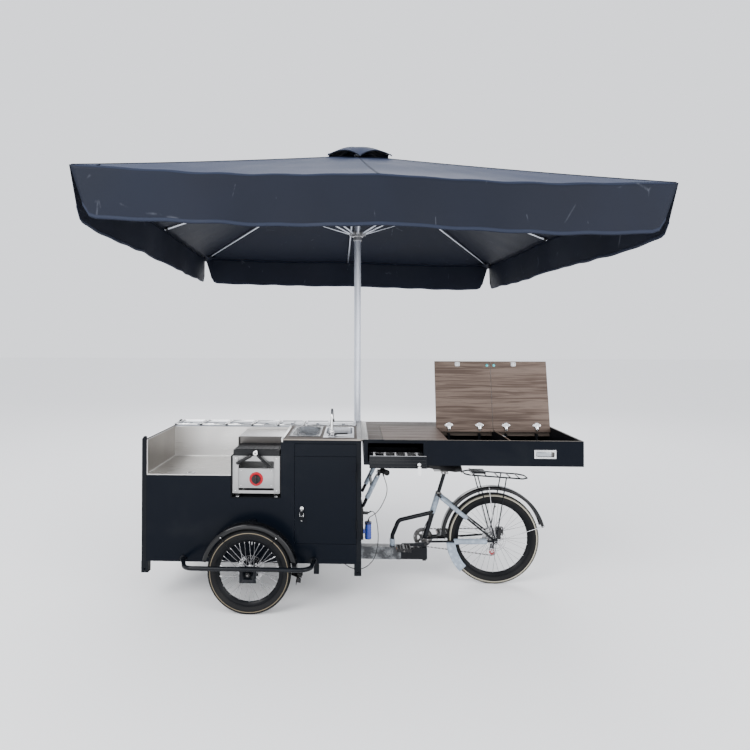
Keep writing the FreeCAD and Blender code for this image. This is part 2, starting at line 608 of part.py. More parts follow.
# ---------------------------------------------------------------- wheels
def tyre(centre, radius):
    h = TYRE_WIDTH / 2
    bead = radius - 47
    outline = [(bead, -h * 0.62), (bead + 16, -h * 0.95), (bead + 28, -h), (radius - 9, -h * 0.8),
               (radius - 2.5, -h * 0.45), (radius, -h * 0.18), (radius, h * 0.18), (radius - 2.5, h * 0.45),
               (radius - 9, h * 0.8), (bead + 28, h), (bead + 16, h * 0.95), (bead, h * 0.62)]
    return ring(outline, centre)


def rim(centre, radius):
    top = radius - 47
    outline = [(top, -14), (top, 14), (top - 10, 15), (top - 20, 10), (top - 27, 4),
               (top - 27, -4), (top - 20, -10), (top - 10, -15)]
    return ring(outline, centre)


def spoked_hub(centre, radius, rotor_side, hub_half):
    """Hub, brake disc and spokes laced from the hub flanges to the rim."""
    cx, cy, cz = centre
    flange = 26
    shell = disc(centre, (0, 1, 0), 15, 2 * hub_half)
    for side in (-1, 1):
        shell = shell.fuse(disc((cx, cy + side * flange, cz), (0, 1, 0), 27, 4))
    shell = shell.fuse(disc((cx, cy + rotor_side * 37, cz), (0, 1, 0), 80, 2))
    bore = rod((cx, cy - hub_half - 1, cz), (cx, cy + hub_half + 1, cz), AXLE_R + RUN)
    solids = [shell.removeSplitter().cut(bore)]
    rim_r = radius - 47 - 27 - GAP
    for i in range(SPOKES):
        side = -1 if i % 2 else 1
        lead = math.radians(22 if (i // 2) % 2 else -22)
        out = cy + side * (flange + (4.7 if (i // 2) % 2 else -4))
        a = 2 * math.pi * i / SPOKES
        hub_end = (cx + 22 * math.cos(a + lead), out, cz + 22 * math.sin(a + lead))
        rim_end = (cx + rim_r * math.cos(a), cy + side * 3, cz + rim_r * math.sin(a))
        solids.append(rod(hub_end, rim_end, 1.4))
    return solids


def front_guards():
    """Side rails outside the front wheels, with the outer wheel plates."""
    half = TRACK / 2
    out = MID_Y - half - 74
    z = 296
    x0, x1 = FRONT_WHEEL_X - 372, FRONT_WHEEL_X + 372
    path = [(x0 - 60, NEAR_Y - 9, z - 14), (x0, out, z), (x1, out, z), (x1 + 10, NEAR_Y - 9, z - 14)]
    rail = tube(path, 13, radius=70)
    plate_y = MID_Y - half - 54
    plate = box(FRONT_WHEEL_X - 50, FRONT_WHEEL_X + 50, plate_y, plate_y + 6, 205, z + 6)
    plate = plate.cut(rod((FRONT_WHEEL_X, plate_y - 1, FRONT_R), (FRONT_WHEEL_X, plate_y + 7, FRONT_R), AXLE_R))
    web = box(FRONT_WHEEL_X - 50, FRONT_WHEEL_X + 50, out, plate_y + 6, z - 4, z + 4)
    feet_ = [rod((px, NEAR_Y - 10, z - 14), (px, NEAR_Y, z - 14), 22) for px in (x0 - 60, x1 + 10)]
    guard = fuse([rail, plate, web] + feet_)
    nut = disc((FRONT_WHEEL_X, plate_y - 5, FRONT_R), (0, 1, 0), 11, 10, AXLE_R)
    return [guard, nut, mirrored(guard), mirrored(nut)]


def arc_band(centre, r0, r1, y0, y1, a0, a1):
    """A slice of a ring about a Y axle, from angle a0 to a1 above +X."""
    cx, cz = centre
    pts = []
    for r, angles in ((r1, (a0, (a0 + a1) / 2, a1)), (r0, (a1, (a0 + a1) / 2, a0))):
        p = [V(cx + r * math.cos(math.radians(a)), y0, cz + r * math.sin(math.radians(a))) for a in angles]
        pts.append(p)
    outer, inner = pts
    edges = [Part.Arc(*outer).toShape(), Part.LineSegment(outer[2], inner[0]).toShape(),
             Part.Arc(*inner).toShape(), Part.LineSegment(inner[2], outer[0]).toShape()]
    return Part.Face(Part.Wire(edges)).extrude(V(0, y1 - y0, 0))


def front_fenders():
    cy = NEAR_WHEEL_Y
    centre = (FRONT_WHEEL_X, FRONT_R)
    crown = arc_band(centre, 287, 290, cy - 34, cy + 34, -10, 166)
    skirts = [arc_band(centre, 262, 290, cy - 34, cy - 31, -6, 166), arc_band(centre, 262, 290, cy + 31, cy + 34, -6, 166)]
    lug = box(FRONT_WHEEL_X - 20, FRONT_WHEEL_X + 20, cy + 34, NEAR_Y, FRONT_R + 255, FRONT_R + 280)
    flap = box(FRONT_WHEEL_X + 283, FRONT_WHEEL_X + 286, cy - 34, cy + 34, 186, 205)
    fender = fuse([crown, lug, flap] + skirts)
    stays = []
    plate_y = MID_Y - TRACK / 2 - 54
    for a in (52, 128):
        c, s = math.cos(math.radians(a)), math.sin(math.radians(a))
        top = (FRONT_WHEEL_X + 270 * c, cy - 37.5, FRONT_R + 270 * s)
        low = (FRONT_WHEEL_X + 78 * c, plate_y + 9.5, FRONT_R + 78 * s)
        stays.append(rod(low, top, 3))
    return [fender, mirrored(fender)] + stays + [mirrored(s) for s in stays]


# ---------------------------------------------------------------- rider's end of the box
BAR_Y = (NEAR_Y + 62, BACK_Y - 62)


def handlebar():
    """Push bar on the back of the box, with two grips."""
    x1, z1 = REAR_X + 158, TOP_Z - 216
    inner = [BAR_Y[0] + 130, BAR_Y[1] - 130]
    path = [(REAR_X + 12, inner[0], TOP_Z - 470), (x1 - 30, inner[0], z1 - 16), (x1, BAR_Y[0], z1)]
    left = tube(path, 11, radius=45)
    cross = rod((REAR_X + 70, inner[0] + 4, TOP_Z - 355), (REAR_X + 70, inner[1] - 4, TOP_Z - 355), 10)
    flange = box(REAR_X, REAR_X + 8, inner[0] - 30, inner[0] + 30, TOP_Z - 505, TOP_Z - 435)
    bar = fuse([left, mirrored(left), cross, flange, mirrored(flange)])
    d = V(30, BAR_Y[0] - inner[0], 16).normalize()
    end = V(x1, BAR_Y[0], z1)
    tip = end + d * 14
    a, b = end + d * GAP, tip
    cap = Part.makeCylinder(16, (b - a).Length, a, d)
    start = end - d * 96
    sleeve = Part.makeCylinder(16, 96, start, d).cut(Part.makeCylinder(11, 96, start, d))
    grip = cap.fuse(sleeve).removeSplitter()
    clamp = lever_clamp().cut(bar).cut(grip)
    return [bar, grip, mirrored(grip), clamp, mirrored(clamp)]


LEVER_PIN = (REAR_X + 128, BAR_Y[0] + 76, TOP_Z - 226)


def brake_lever():
    x, y, z = LEVER_PIN
    pivot = disc((x - 22, y, z - 6), (0, 0, 1), 8, 12)
    blade = rod((x - 22, y, z - 6), (x - 30, y - 92, z - 10), 4.5)
    return fuse([pivot, blade])


def lever_clamp():
    x, y, z = LEVER_PIN
    return box(x - 24, x + 2, y + 8.3, y + 30, z - 14, z + 4)


def water_pump():
    x, y = REAR_X, NEAR_Y + 130
    bracket = box(x, x + 14, y - 26, y + 26, TOP_Z - 655, TOP_Z - 460)
    motor = rod((x + 45, y, TOP_Z - 655), (x + 45, y, TOP_Z - 560), 20)
    arm = box(x + 14, x + 30, y - 10, y + 10, TOP_Z - 620, TOP_Z - 595)
    head = rod((x + 45, y, TOP_Z - 560), (x + 45, y, TOP_Z - 548), 22)
    clip = box(x + 14, x + 44, y - 8, y + 8, TOP_Z - 500, TOP_Z - 484)
    return [bracket, fuse([motor, head, arm]), clip]


def parasol_brackets():
    holders = []
    for z0, z1 in ((TOP_Z - 150, TOP_Z - 90), (300, 360)):
        block = box(-45, 45, BACK_Y, POLE_R + 16, z0, z1)
        holders.append(block.cut(rod((0, 0, z0 - 1), (0, 0, z1 + 1), POLE_R + GAP)))
    foot = box(-45, 45, BACK_Y, POLE_R + 16, 290, 300)
    holders[1] = holders[1].fuse(foot).removeSplitter()
    return holders


# ---------------------------------------------------------------- bicycle rear half
HUB_HALF = 64
AXLE_OUT = 24         # rear axle beyond the hub, each side


def drawbar():
    z0, z1 = 160, 241
    eye = disc((PIVOT_X, MID_Y, (z0 + z1) / 2), (0, 0, 1), 32, z1 - z0)
    beam = box(PIVOT_X, BB_X + 18, MID_Y - 28, MID_Y + 28, z0, z1)
    bore = rod((PIVOT_X, MID_Y, z0 - 1), (PIVOT_X, MID_Y, z1 + 1), 15 + RUN)
    tab = box(BB_X - 16, BB_X + 16, MID_Y - 20, MID_Y + 20, z1, BB_Z - 22)
    x, y, z = CABLES["frame_cable"][0]
    stop = box(x - 14, x - 1.1, y - 5, MID_Y - 28, z - 6, z + 6)
    return fuse([eye, beam, tab, stop]).cut(bore)


def seat_point(z):
    return (BB_X + SEAT_SLOPE * (z - BB_Z), MID_Y, z)


def bike_frame():
    bb = rod((BB_X, MID_Y - 34, BB_Z), (BB_X, MID_Y + 34, BB_Z), 22)
    seat = rod(seat_point(BB_Z), seat_point(SEAT_TOP_Z), 16)
    cross = rod((seat_point(SEAT_TOP_Z - 14)[0], MID_Y - 36, SEAT_TOP_Z - 14),
                (seat_point(SEAT_TOP_Z - 14)[0], MID_Y + 36, SEAT_TOP_Z - 14), 9)
    main = tube([seat_point(BB_Z + 190), (BB_X - 172, MID_Y, BB_Z + 133), (BB_X - 215, MID_Y, BB_Z + 30),
                 (BB_X - 215, MID_Y, 241)], 14, radius=40)
    hub = (REAR_WHEEL_X, REAR_R)
    x, y, z = CABLES["frame_cable"][-1]
    stop = box(x - 8, x + 8, y - 7, MID_Y - 8, z + 2, z + 11)
    pieces = [bb, seat, cross, main, stop]
    for side in (-1, 1):
        drop_y = MID_Y + side * (HUB_HALF + 5)
        pieces.append(rod((BB_X, MID_Y + side * 27, BB_Z), (hub[0], drop_y, hub[1]), 7))
        pieces.append(rod((seat_point(SEAT_TOP_Z - 14)[0], MID_Y + side * 33, SEAT_TOP_Z - 14),
                          (hub[0], drop_y, hub[1]), 6.5))
        pieces.append(disc((hub[0], MID_Y + side * (HUB_HALF + 4), hub[1]), (0, 1, 0), 19, 7))
    pieces.append(rod((hub[0], MID_Y - HUB_HALF - AXLE_OUT, hub[1]), (hub[0], MID_Y + HUB_HALF + AXLE_OUT, hub[1]), AXLE_R))
    frame = fuse(pieces)
    bb_bore = rod((BB_X, MID_Y - 40, BB_Z), (BB_X, MID_Y + 40, BB_Z), 8 + RUN)
    post_low, post_top = V(*seat_point(SEAT_TOP_Z - 190)), V(*seat_point(SEAT_TOP_Z + 5))
    post_bore = Part.makeCylinder(12.6 + RUN, (post_top - post_low).Length, post_low, post_top - post_low)
    wheel_space = rod((hub[0], MID_Y - HUB_HALF - GAP, hub[1]), (hub[0], MID_Y + HUB_HALF + GAP, hub[1]), 30)
    axle = rod((hub[0], MID_Y - HUB_HALF - AXLE_OUT, hub[1]), (hub[0], MID_Y + HUB_HALF + AXLE_OUT, hub[1]), AXLE_R)
    return frame.cut(bb_bore).cut(post_bore).cut(wheel_space).fuse(axle)


def seat_post():
    low, top = V(*seat_point(SEAT_TOP_Z - 150)), V(*seat_point(SADDLE_Z - 18))
    post = Part.makeCylinder(12.6, (top - low).Length, low, top - low)
    clamp = box(top.x - 22, top.x + 22, MID_Y - 22, MID_Y + 22, SADDLE_Z - 24, SADDLE_Z - 6)
    rails = [rod((top.x - 75, MID_Y + dy, SADDLE_Z - 3), (top.x + 80, MID_Y + dy, SADDLE_Z - 3), 3.5)
             for dy in (-20, 20)]
    return fuse([post, clamp] + rails)


def saddle():
    x = seat_point(SADDLE_Z)[0]
    z0 = SADDLE_Z + 0.5
    outline = [(x - 125, -18), (x - 125, 18), (x - 20, 30), (x + 30, 84), (x + 88, 90), (x + 104, 60),
               (x + 104, -60), (x + 88, -90), (x + 30, -84), (x - 20, -30)]
    return prism([(px, MID_Y + dy, z0) for px, dy in outline], (0, 0, 52))


def rear_fender():
    centre = (REAR_WHEEL_X, REAR_R)
    crown = arc_band(centre, 347, 350, MID_Y - 27, MID_Y + 27, 14, 182)
    solids = [crown]
    for side in (-1, 1):
        y = MID_Y + side * (HUB_HALF + 14.5)
        parts = [disc((REAR_WHEEL_X, y, REAR_R), (0, 1, 0), 12, 4)]
        for a in (15.5, 95):
            c, s = math.cos(math.radians(a)), math.sin(math.radians(a))
            parts.append(rod((REAR_WHEEL_X + 9 * c, y, REAR_R + 9 * s),
                             (REAR_WHEEL_X + 349 * c, MID_Y + side * 29.7, REAR_R + 349 * s), 2.5))
        hole = rod((REAR_WHEEL_X, y - 4, REAR_R), (REAR_WHEEL_X, y + 4, REAR_R), AXLE_R)
        solids.append(fuse(parts).cut(hole))
    return solids


def rack():
    z, half = 742, 66
    x0, x1 = REAR_WHEEL_X - 195, REAR_WHEEL_X + 222
    loop = [tube([(x0 + 40, MID_Y - half, z), (x1 - 40, MID_Y - half, z - 22), (x1, MID_Y - half + 30, z - 24),
                  (x1, MID_Y + half - 30, z - 24), (x1 - 40, MID_Y + half, z - 22), (x0 + 40, MID_Y + half, z),
                  (x0, MID_Y + half - 30, z + 1), (x0, MID_Y - half + 30, z + 1), (x0 + 34, MID_Y - half - 0.5, z)],
                 5, radius=20)]
    for x in (x0 + 60, x0 + 140, x0 + 220, x0 + 300, x0 + 360):
        zz = z - 22 * (x - x0 - 40) / (x1 - x0 - 80)
        loop.append(rod((x, MID_Y - half, zz), (x, MID_Y + half, zz), 4))
    for side in (-1, 1):
        foot = (REAR_WHEEL_X, MID_Y + side * (HUB_HALF + 21), REAR_R)
        for x in (x0 + 80, x0 + 270):
            zz = z - 22 * (x - x0 - 40) / (x1 - x0 - 80)
            loop.append(rod(foot, (x, MID_Y + side * half, zz), 4))
        loop.append(disc(foot, (0, 1, 0), 12, 4.4))
    body = fuse(loop)
    hole = rod((REAR_WHEEL_X, MID_Y - 120, REAR_R), (REAR_WHEEL_X, MID_Y + 120, REAR_R), AXLE_R)
    clip = box(x0 + 44, x0 + 140, MID_Y - 42, MID_Y + 42, z + 3, z + 17)
    return [body.cut(hole), clip]


def brake_caliper():
    x, z = REAR_WHEEL_X + 34, REAR_R + 62
    block = box(x - 22, x + 22, MID_Y - 58, MID_Y - 31, z - 26, z + 26)
    slot = box(x - 40, x + 40, MID_Y - 41, MID_Y - 33.5, z - 50, z + 19)
    arm = box(REAR_WHEEL_X + 13.7, REAR_WHEEL_X + 36, MID_Y - HUB_HALF - 7, MID_Y - 58, REAR_R + 13.7, z + 10)
    return fuse([block.cut(slot), arm])


PULLEY = (REAR_WHEEL_X + 8, REAR_R - 118)


def derailleur():
    px, pz = PULLEY
    y = MID_Y + CHAIN_Y
    wheel = disc((px, y, pz), (0, 1, 0), 19, 5)
    cage = prism([(px - 14, y + 7, pz - 16), (px + 14, y + 7, pz - 16), (px + 22, y + 7, REAR_R - 30),
                  (px - 10, y + 7, REAR_R - 30)], (0, 3, 0))
    knuckle = box(px - 14, px + 24, y + 9.5, MID_Y + HUB_HALF + 0.5, REAR_R - 60, REAR_R - 16)
    axle = rod((px, y - 2, pz), (px, y + 8, pz), 5)
    return fuse([wheel, cage, knuckle, axle])


def belt(circles, y0, y1, grow):
    """The outline that a stretched chain makes round circles listed anticlockwise."""
    edges = []
    n = len(circles)
    ends = []
    for i in range(n):
        (ax, az, ar), (bx, bz, br) = circles[i], circles[(i + 1) % n]
        ar, br = ar + grow, br + grow
        length = math.hypot(bx - ax, bz - az)
        base = math.atan2(bz - az, bx - ax)
        off = base - math.pi / 2 + math.asin((ar - br) / length)
        ends.append((V(ax + ar * math.cos(off), y0, az + ar * math.sin(off)),
                     V(bx + br * math.cos(off), y0, bz + br * math.sin(off)), off))
    for i in range(n):
        p, q, off = ends[i]
        edges.append(Part.LineSegment(p, q).toShape())
        nxt = ends[(i + 1) % n]
        cx, cz, r = circles[(i + 1) % n]
        turn = (nxt[2] - off) % (2 * math.pi)
        mid = off + turn / 2
        m = V(cx + (r + grow) * math.cos(mid), y0, cz + (r + grow) * math.sin(mid))
        edges.append(Part.Arc(q, m, nxt[0]).toShape())
    return Part.Face(Part.Wire(edges)).extrude(V(0, y1 - y0, 0))


def chain():
    loops = [(BB_X, BB_Z, RING_R), (PULLEY[0], PULLEY[1], 19), (REAR_WHEEL_X, REAR_R, COG_R)]
    y0, y1 = MID_Y + CHAIN_Y - 3.5, MID_Y + CHAIN_Y + 3.5
    return belt(loops, y0, y1, 7).cut(belt(loops, y0, y1, GAP))


def crankset():
    y_mid = MID_Y
    spindle = rod((BB_X, y_mid - 76, BB_Z), (BB_X, y_mid + 76, BB_Z), 8)
    chainring = disc((BB_X, y_mid + CHAIN_Y, BB_Z), (0, 1, 0), RING_R, 3)
    pieces = [spindle, chainring]
    for side in (-1, 1):
        tip = (BB_X + side * CRANK, BB_Z + side * 8)
        y0, y1 = y_mid + side * 62, y_mid + side * 76
        a = math.degrees(math.atan2(tip[1] - BB_Z, tip[0] - BB_X))
        arm = box(-12, CRANK + 12, min(y0, y1), max(y0, y1), -11, 11)
        arm.rotate(V(0, 0, 0), V(0, -1, 0), a)
        arm.translate(V(BB_X, 0, BB_Z))
        pieces += [arm, rod((tip[0], y0, tip[1]), (tip[0], y_mid + side * 178, tip[1]), 5)]
    return fuse(pieces)


def pedal(side):
    x, z = BB_X + side * CRANK, BB_Z + side * 8
    y0, y1 = sorted((MID_Y + side * 80, MID_Y + side * 174))
    body = box(x - 46, x + 46, y0, y1, z - 12, z + 12)
    for dx in (-26, 26):
        body = body.cut(box(x + dx - 12, x + dx + 12, y0 + 12, y1 - 12, z - 13, z + 13))
    return body.cut(rod((x, y0 - 1, z), (x, y1 + 1, z), 5 + RUN))


def cassette():
    cogs = []
    for i in range(5):
        cogs.append(disc((REAR_WHEEL_X, MID_Y + 36 + 5 * i, REAR_R), (0, 1, 0), COG_R + 15 - 5 * i, 2))
    core = rod((REAR_WHEEL_X, MID_Y + 40, REAR_R), (REAR_WHEEL_X, MID_Y + 60, REAR_R), 25)
    body = fuse(cogs + [core])
    return body.cut(rod((REAR_WHEEL_X, MID_Y + 20, REAR_R), (REAR_WHEEL_X, MID_Y + 80, REAR_R), 15 + RUN))


# ---------------------------------------------------------------- control cables
CABLE_R = 2.5
CABLES = {
    "shift_cable": [(160, -612, 785), (171, -620, 752), (186, -636, 708), (182, -645, 660), (162, -646, 614),
                    (142, -641, 574), (118, -635, 542), (92, -627, 520), (70, -622, 508), (65, -622, 480.6)],
    "brake_cable": [(66, -622, 537), (92, -622, 552), (110, -624, 530), (120, -626, 490), (128, -627, 432),
                    (130, -629, 374), (124, -630, 318), (114, -631, 276), (98, -632, 238), (56, -635, 196),
                    (4, -640, 181), (-56, -644, 196), (-98, -646, 232), (-108, -646, 262)],
    "frame_cable": [(336, -425, 220), (368, -436, 228), (400, -446, 272), (428, -449, 338), (452, -448, 402),
                    (478, -438, 446), (502, -421, 478)],
}


def cable(name):
    wire, radii = bent_path(CABLES[name])
    body = tube(CABLES[name], CABLE_R)
    expect = math.pi * CABLE_R ** 2 * wire.Length
    print(name, "length", round(wire.Length), "volume ratio", round(body.Volume / expect, 4), "radii", radii)
    return body


# ---------------------------------------------------------------- parasol
def rib_tips():
    """Eight rib tips: four corners and four mid-edges, in order round the canopy."""
    tips = []
    for i in range(8):
        sx, sy = [(1, 0), (1, 1), (0, 1), (-1, 1), (-1, 0), (-1, -1), (0, -1), (1, -1)][i]
        x, y = sx * CANOPY_HALF, sy * CANOPY_HALF
        tips.append(V(x, y, EAVE_Z - EAVE_LEAN * x))
    return tips


def turned(shapes):
    for s in shapes:
        s.rotate(V(0, 0, 0), V(0, 0, 1), CANOPY_TURN)
    return shapes


def parasol_pole():
    return rod((0, 0, 300 + GAP), (0, 0, VENT_TOP - 32), POLE_R)


def parasol_hubs():
    top = APEX_Z - 40
    crown = disc((0, 0, top), (0, 0, 1), 44, 46, POLE_R)
    runner = disc((0, 0, RUNNER_Z), (0, 0, 1), 42, 34, POLE_R)
    sleeve = disc((0, 0, RUNNER_Z - 32), (0, 0, 1), 31, 30, POLE_R)
    return [crown, fuse([runner, sleeve])]


def parasol_ribs():
    apex = V(0, 0, APEX_Z)
    drop = V(0, 0, -(RIB_R + 0.6) * 1.06)
    solids = []
    for tip in rib_tips():
        along = (tip - apex).normalize()
        flat = V(along.x, along.y, 0).normalize()
        start = apex + along * (47.2 / math.hypot(along.x, along.y)) + drop
        end = tip - along * 22 + drop
        solids.append(Part.makeCylinder(RIB_R, (end - start).Length, start, along))
        joint = apex + along * ((tip - apex).Length * 0.42) + drop + V(0, 0, -RIB_R - 6.3)
        foot = flat * 45.2 + V(0, 0, RUNNER_Z + 4)
        solids.append(Part.makeCylinder(6, (joint - foot).Length, foot, joint - foot))
    return turned(solids)


def parasol_canopy():
    """Eight sloping roof panels round a small crown hole, and four valances."""
    apex = V(0, 0, APEX_Z)
    tips = rib_tips()
    up = V(0, 0, CLOTH)
    solids = []
    share = 50 / CANOPY_HALF
    for a, b in zip(tips, tips[1:] + tips[:1]):
        inner_a, inner_b = apex + (a - apex) * share, apex + (b - apex) * share
        corners = [inner_a, a, b, inner_b, inner_a]
        solids.append(Part.Face(Part.makePolygon(corners)).extrude(up))
    corner = [tips[i] for i in (1, 3, 5, 7)]
    for a, b in zip(corner, corner[1:] + corner[:1]):
        along = (b - a).normalize()
        p, q = a + along * 12, b - along * 12
        inward = V(-(p.x + q.x), -(p.y + q.y), 0).normalize() * CLOTH
        down = V(0, 0, -VALANCE)
        face = Part.Face(Part.makePolygon([p, q, q + down, p + down, p]))
        solids.append(face.extrude(inward))
    return turned(solids)


def parasol_vent():
    h, t = VENT_HALF, CLOTH
    apex = V(0, 0, VENT_TOP)
    corners = [V(h, h, VENT_EAVE), V(-h, h, VENT_EAVE), V(-h, -h, VENT_EAVE), V(h, -h, VENT_EAVE)]
    solids = []
    share = 0.12
    for a, b in zip(corners, corners[1:] + corners[:1]):
        ia, ib = apex + (a - apex) * share, apex + (b - apex) * share
        solids.append(Part.Face(Part.makePolygon([ia, a, b, ib, ia])).extrude(V(0, 0, t)))
    cap = disc((0, 0, VENT_TOP - 30), (0, 0, 1), 40, 4)
    props = [rod((c.x * 0.09, c.y * 0.09, VENT_TOP - 31), (c.x * 0.92, c.y * 0.92, VENT_EAVE + 3), 3.5)
             for c in corners]
    return turned(solids + [fuse([cap] + props)])


# ---------------------------------------------------------------- write every node
def build():
    os.makedirs("parts", exist_ok=True)
    near_front = (FRONT_WHEEL_X, NEAR_WHEEL_Y, FRONT_R)
    far_front = (FRONT_WHEEL_X, FAR_WHEEL_Y, FRONT_R)
    rear = (REAR_WHEEL_X, MID_Y, REAR_R)
    lever = brake_lever()
    nodes = {
        "chassis": chassis() + [floor_pan()], "near_panel": [near_panel()], "far_panel": [far_panel()],
        "front_panel": [end_panel(FRONT_X, TOP_Z - 14)], "rear_panel": [end_panel(REAR_X - PANEL, TOP_Z - TOP_THICK)],
        "steel_liner": [steel_liner()], "pan_set": pan_set(),
        "sink_top": [sink_top()], "sink_bowls": sink_bowls(), "faucet_body": [faucet_body()],
        "faucet_spout": [faucet_spout()], "faucet_lever": [faucet_lever()], "water_tanks": water_tanks(),
        "side_door": side_door(), "grill_body": grill_body(), "grill_top": grill_top(), "grill_knob": [grill_knob()],
        "wing_case": wing_case(), "wing_top": wing_top(), "box_hinge_leaf": [box_hinge_leaf()],
        "wing_hinge_leaf": [wing_hinge_leaf()], "flush_handle": [flush_handle()],
        "lid_shut": lid(0, False), "lid_middle": lid(1, True), "lid_end": lid(2, True),
        "cash_drawer": cash_drawer(), "wheel_guards": front_guards(), "front_fenders": front_fenders(),
        "handlebar": handlebar(), "lever_near": [lever], "lever_far": [mirrored(lever)],
        "water_pump": water_pump(),
        "parasol_brackets": parasol_brackets(), "drawbar": [drawbar()], "bike_frame": [bike_frame()],
        "seat_post": [seat_post()], "saddle": [saddle()], "rear_fender": rear_fender(), "rack": rack(),
        "brake_caliper": [brake_caliper()], "derailleur": [derailleur()], "chain": [chain()],
        "crankset": [crankset()], "pedal_near": [pedal(-1)], "pedal_far": [pedal(1)], "cassette": [cassette()],
        "parasol_pole": turned([parasol_pole()]), "parasol_hubs": turned(parasol_hubs()),
        "parasol_ribs": parasol_ribs(), "parasol_canopy": parasol_canopy(), "parasol_vent": parasol_vent(),
    }
    for name, centre, radius, rotor, half in (("near", near_front, FRONT_R, 1, 42.4), ("far", far_front, FRONT_R, -1, 42.4),
                                              ("rear", rear, REAR_R, -1, HUB_HALF)):
        nodes["tyre_" + name] = [tyre(centre, radius)]
        nodes["wheel_" + name] = [rim(centre, radius)] + spoked_hub(centre, radius, rotor, half)
    for name in CABLES:
        nodes[name] = [cable(name)]
    for name, shapes in nodes.items():
        save(name, shapes)
    print(len(nodes), "nodes")


build()
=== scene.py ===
"""Pedal vending cart with a fold-out counter and a square parasol: what each piece looks like."""
import json
import math

import bmesh
import bpy
from mathutils import Matrix, Vector, noise

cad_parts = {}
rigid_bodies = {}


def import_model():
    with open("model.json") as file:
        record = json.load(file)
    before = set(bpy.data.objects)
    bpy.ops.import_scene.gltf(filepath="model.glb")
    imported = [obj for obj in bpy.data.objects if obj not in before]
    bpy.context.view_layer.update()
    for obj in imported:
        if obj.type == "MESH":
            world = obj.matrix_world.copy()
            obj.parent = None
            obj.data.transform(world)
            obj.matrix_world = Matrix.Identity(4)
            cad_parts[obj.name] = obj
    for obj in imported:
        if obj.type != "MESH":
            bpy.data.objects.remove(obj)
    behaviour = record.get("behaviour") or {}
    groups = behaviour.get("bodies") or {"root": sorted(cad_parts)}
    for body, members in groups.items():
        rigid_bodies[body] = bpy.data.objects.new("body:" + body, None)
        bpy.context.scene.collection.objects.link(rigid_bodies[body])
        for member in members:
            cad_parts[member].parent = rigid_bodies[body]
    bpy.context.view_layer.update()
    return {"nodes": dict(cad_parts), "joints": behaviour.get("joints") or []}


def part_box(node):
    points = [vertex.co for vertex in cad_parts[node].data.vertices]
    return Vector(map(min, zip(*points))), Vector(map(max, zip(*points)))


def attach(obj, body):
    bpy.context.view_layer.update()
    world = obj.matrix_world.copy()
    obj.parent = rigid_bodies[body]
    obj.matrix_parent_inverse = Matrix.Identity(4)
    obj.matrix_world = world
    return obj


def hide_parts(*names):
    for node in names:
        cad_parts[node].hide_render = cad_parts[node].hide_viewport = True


bl_info = {
    "name": "Pedal vending cart",
    "version": (1, 0, 0),
    "blender": (4, 5, 0),
    "location": "3D View > Sidebar > Cart",
    "description": "Builds the finished look of a pedal vending cart round its frame",
    "category": "Object",
}

for left_over in list(bpy.data.objects):
    bpy.data.objects.remove(left_over)

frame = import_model()
NODES = frame["nodes"]
UP, DOWN, NEARWARD = (0, 0, 1), (0, 0, -1), (0, -1, 0)
SIDEWAYS = Vector((0, 1, 0))
FULL_TURN = 2 * math.pi


def vec(x, y, z):
    return Vector((x, y, z))


def joint_at(name):
    """Where a joint's axis passes."""
    return Vector(next(j for j in frame["joints"] if j["name"] == name)["pos_m"])


# ---------------------------------------------------------------- places read from the frame
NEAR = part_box("near_panel")[0].y                     # near face of the serving box
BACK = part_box("far_panel")[1].y                      # back face of the serving box
MIDDLE = joint_at("steering").y                        # middle plane of the bicycle
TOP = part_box("sink_top")[1].z                        # counter height
BOX_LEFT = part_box("front_panel")[0].x
BOX_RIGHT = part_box("rear_panel")[1].x
AXLES = {"near": joint_at("front_near_axle"), "far": joint_at("front_far_axle"),
    "rear": joint_at("rear_axle")}
CRANK = joint_at("pedal_crank")
SPOUT = joint_at("spout_swing")
DIAL = joint_at("grill_dial")


# ---------------------------------------------------------------- values a user would change
def colour(label, text, default):
    return bpy.props.FloatVectorProperty(name=label, description=text, subtype="COLOR", size=3, min=0,
        max=1, default=default)


def length(label, text, default):
    return bpy.props.FloatProperty(name=label, description=text, default=default, unit="LENGTH",
        precision=4)


class CartColours(bpy.types.PropertyGroup):
    """Colours of the cart's finishes."""

    panel: colour("Panels", "Gloss paint on the box and the counter", (0.0026, 0.004, 0.0072))
    frame: colour("Frame", "Paint on the bicycle and the steel frame", (0.003, 0.004, 0.0062))
    cloth: colour("Parasol cloth", "Coated polyester of the parasol", (0.006, 0.008, 0.015))
    wood: colour("Lid wood", "Light figure of the wood-faced lids", (0.175, 0.13, 0.106))
    wood_dark: colour("Lid wood, dark", "Dark figure of the wood-faced lids", (0.088, 0.062, 0.05))
    board: colour("Counter board", "Light figure of the counter boards", (0.115, 0.09, 0.075))
    steel: colour("Steel", "Folded stainless steel", (0.58, 0.57, 0.555))
    red: colour("Red trim", "Enamel ring round the grill dial", (0.34, 0.008, 0.018))
    wall_line: colour("Tyre line", "Beige line on the rear tyre's wall", (0.4, 0.37, 0.29))
    front_line: colour("Front tyre line", "Tan line on the front tyres' walls", (0.17, 0.14, 0.095))
    foam: colour("Foam wrap", "Thin foam wound round new tubes", (0.37, 0.44, 0.53))
    blue: colour("Pump", "Blue pump housing", (0.008, 0.035, 0.28))


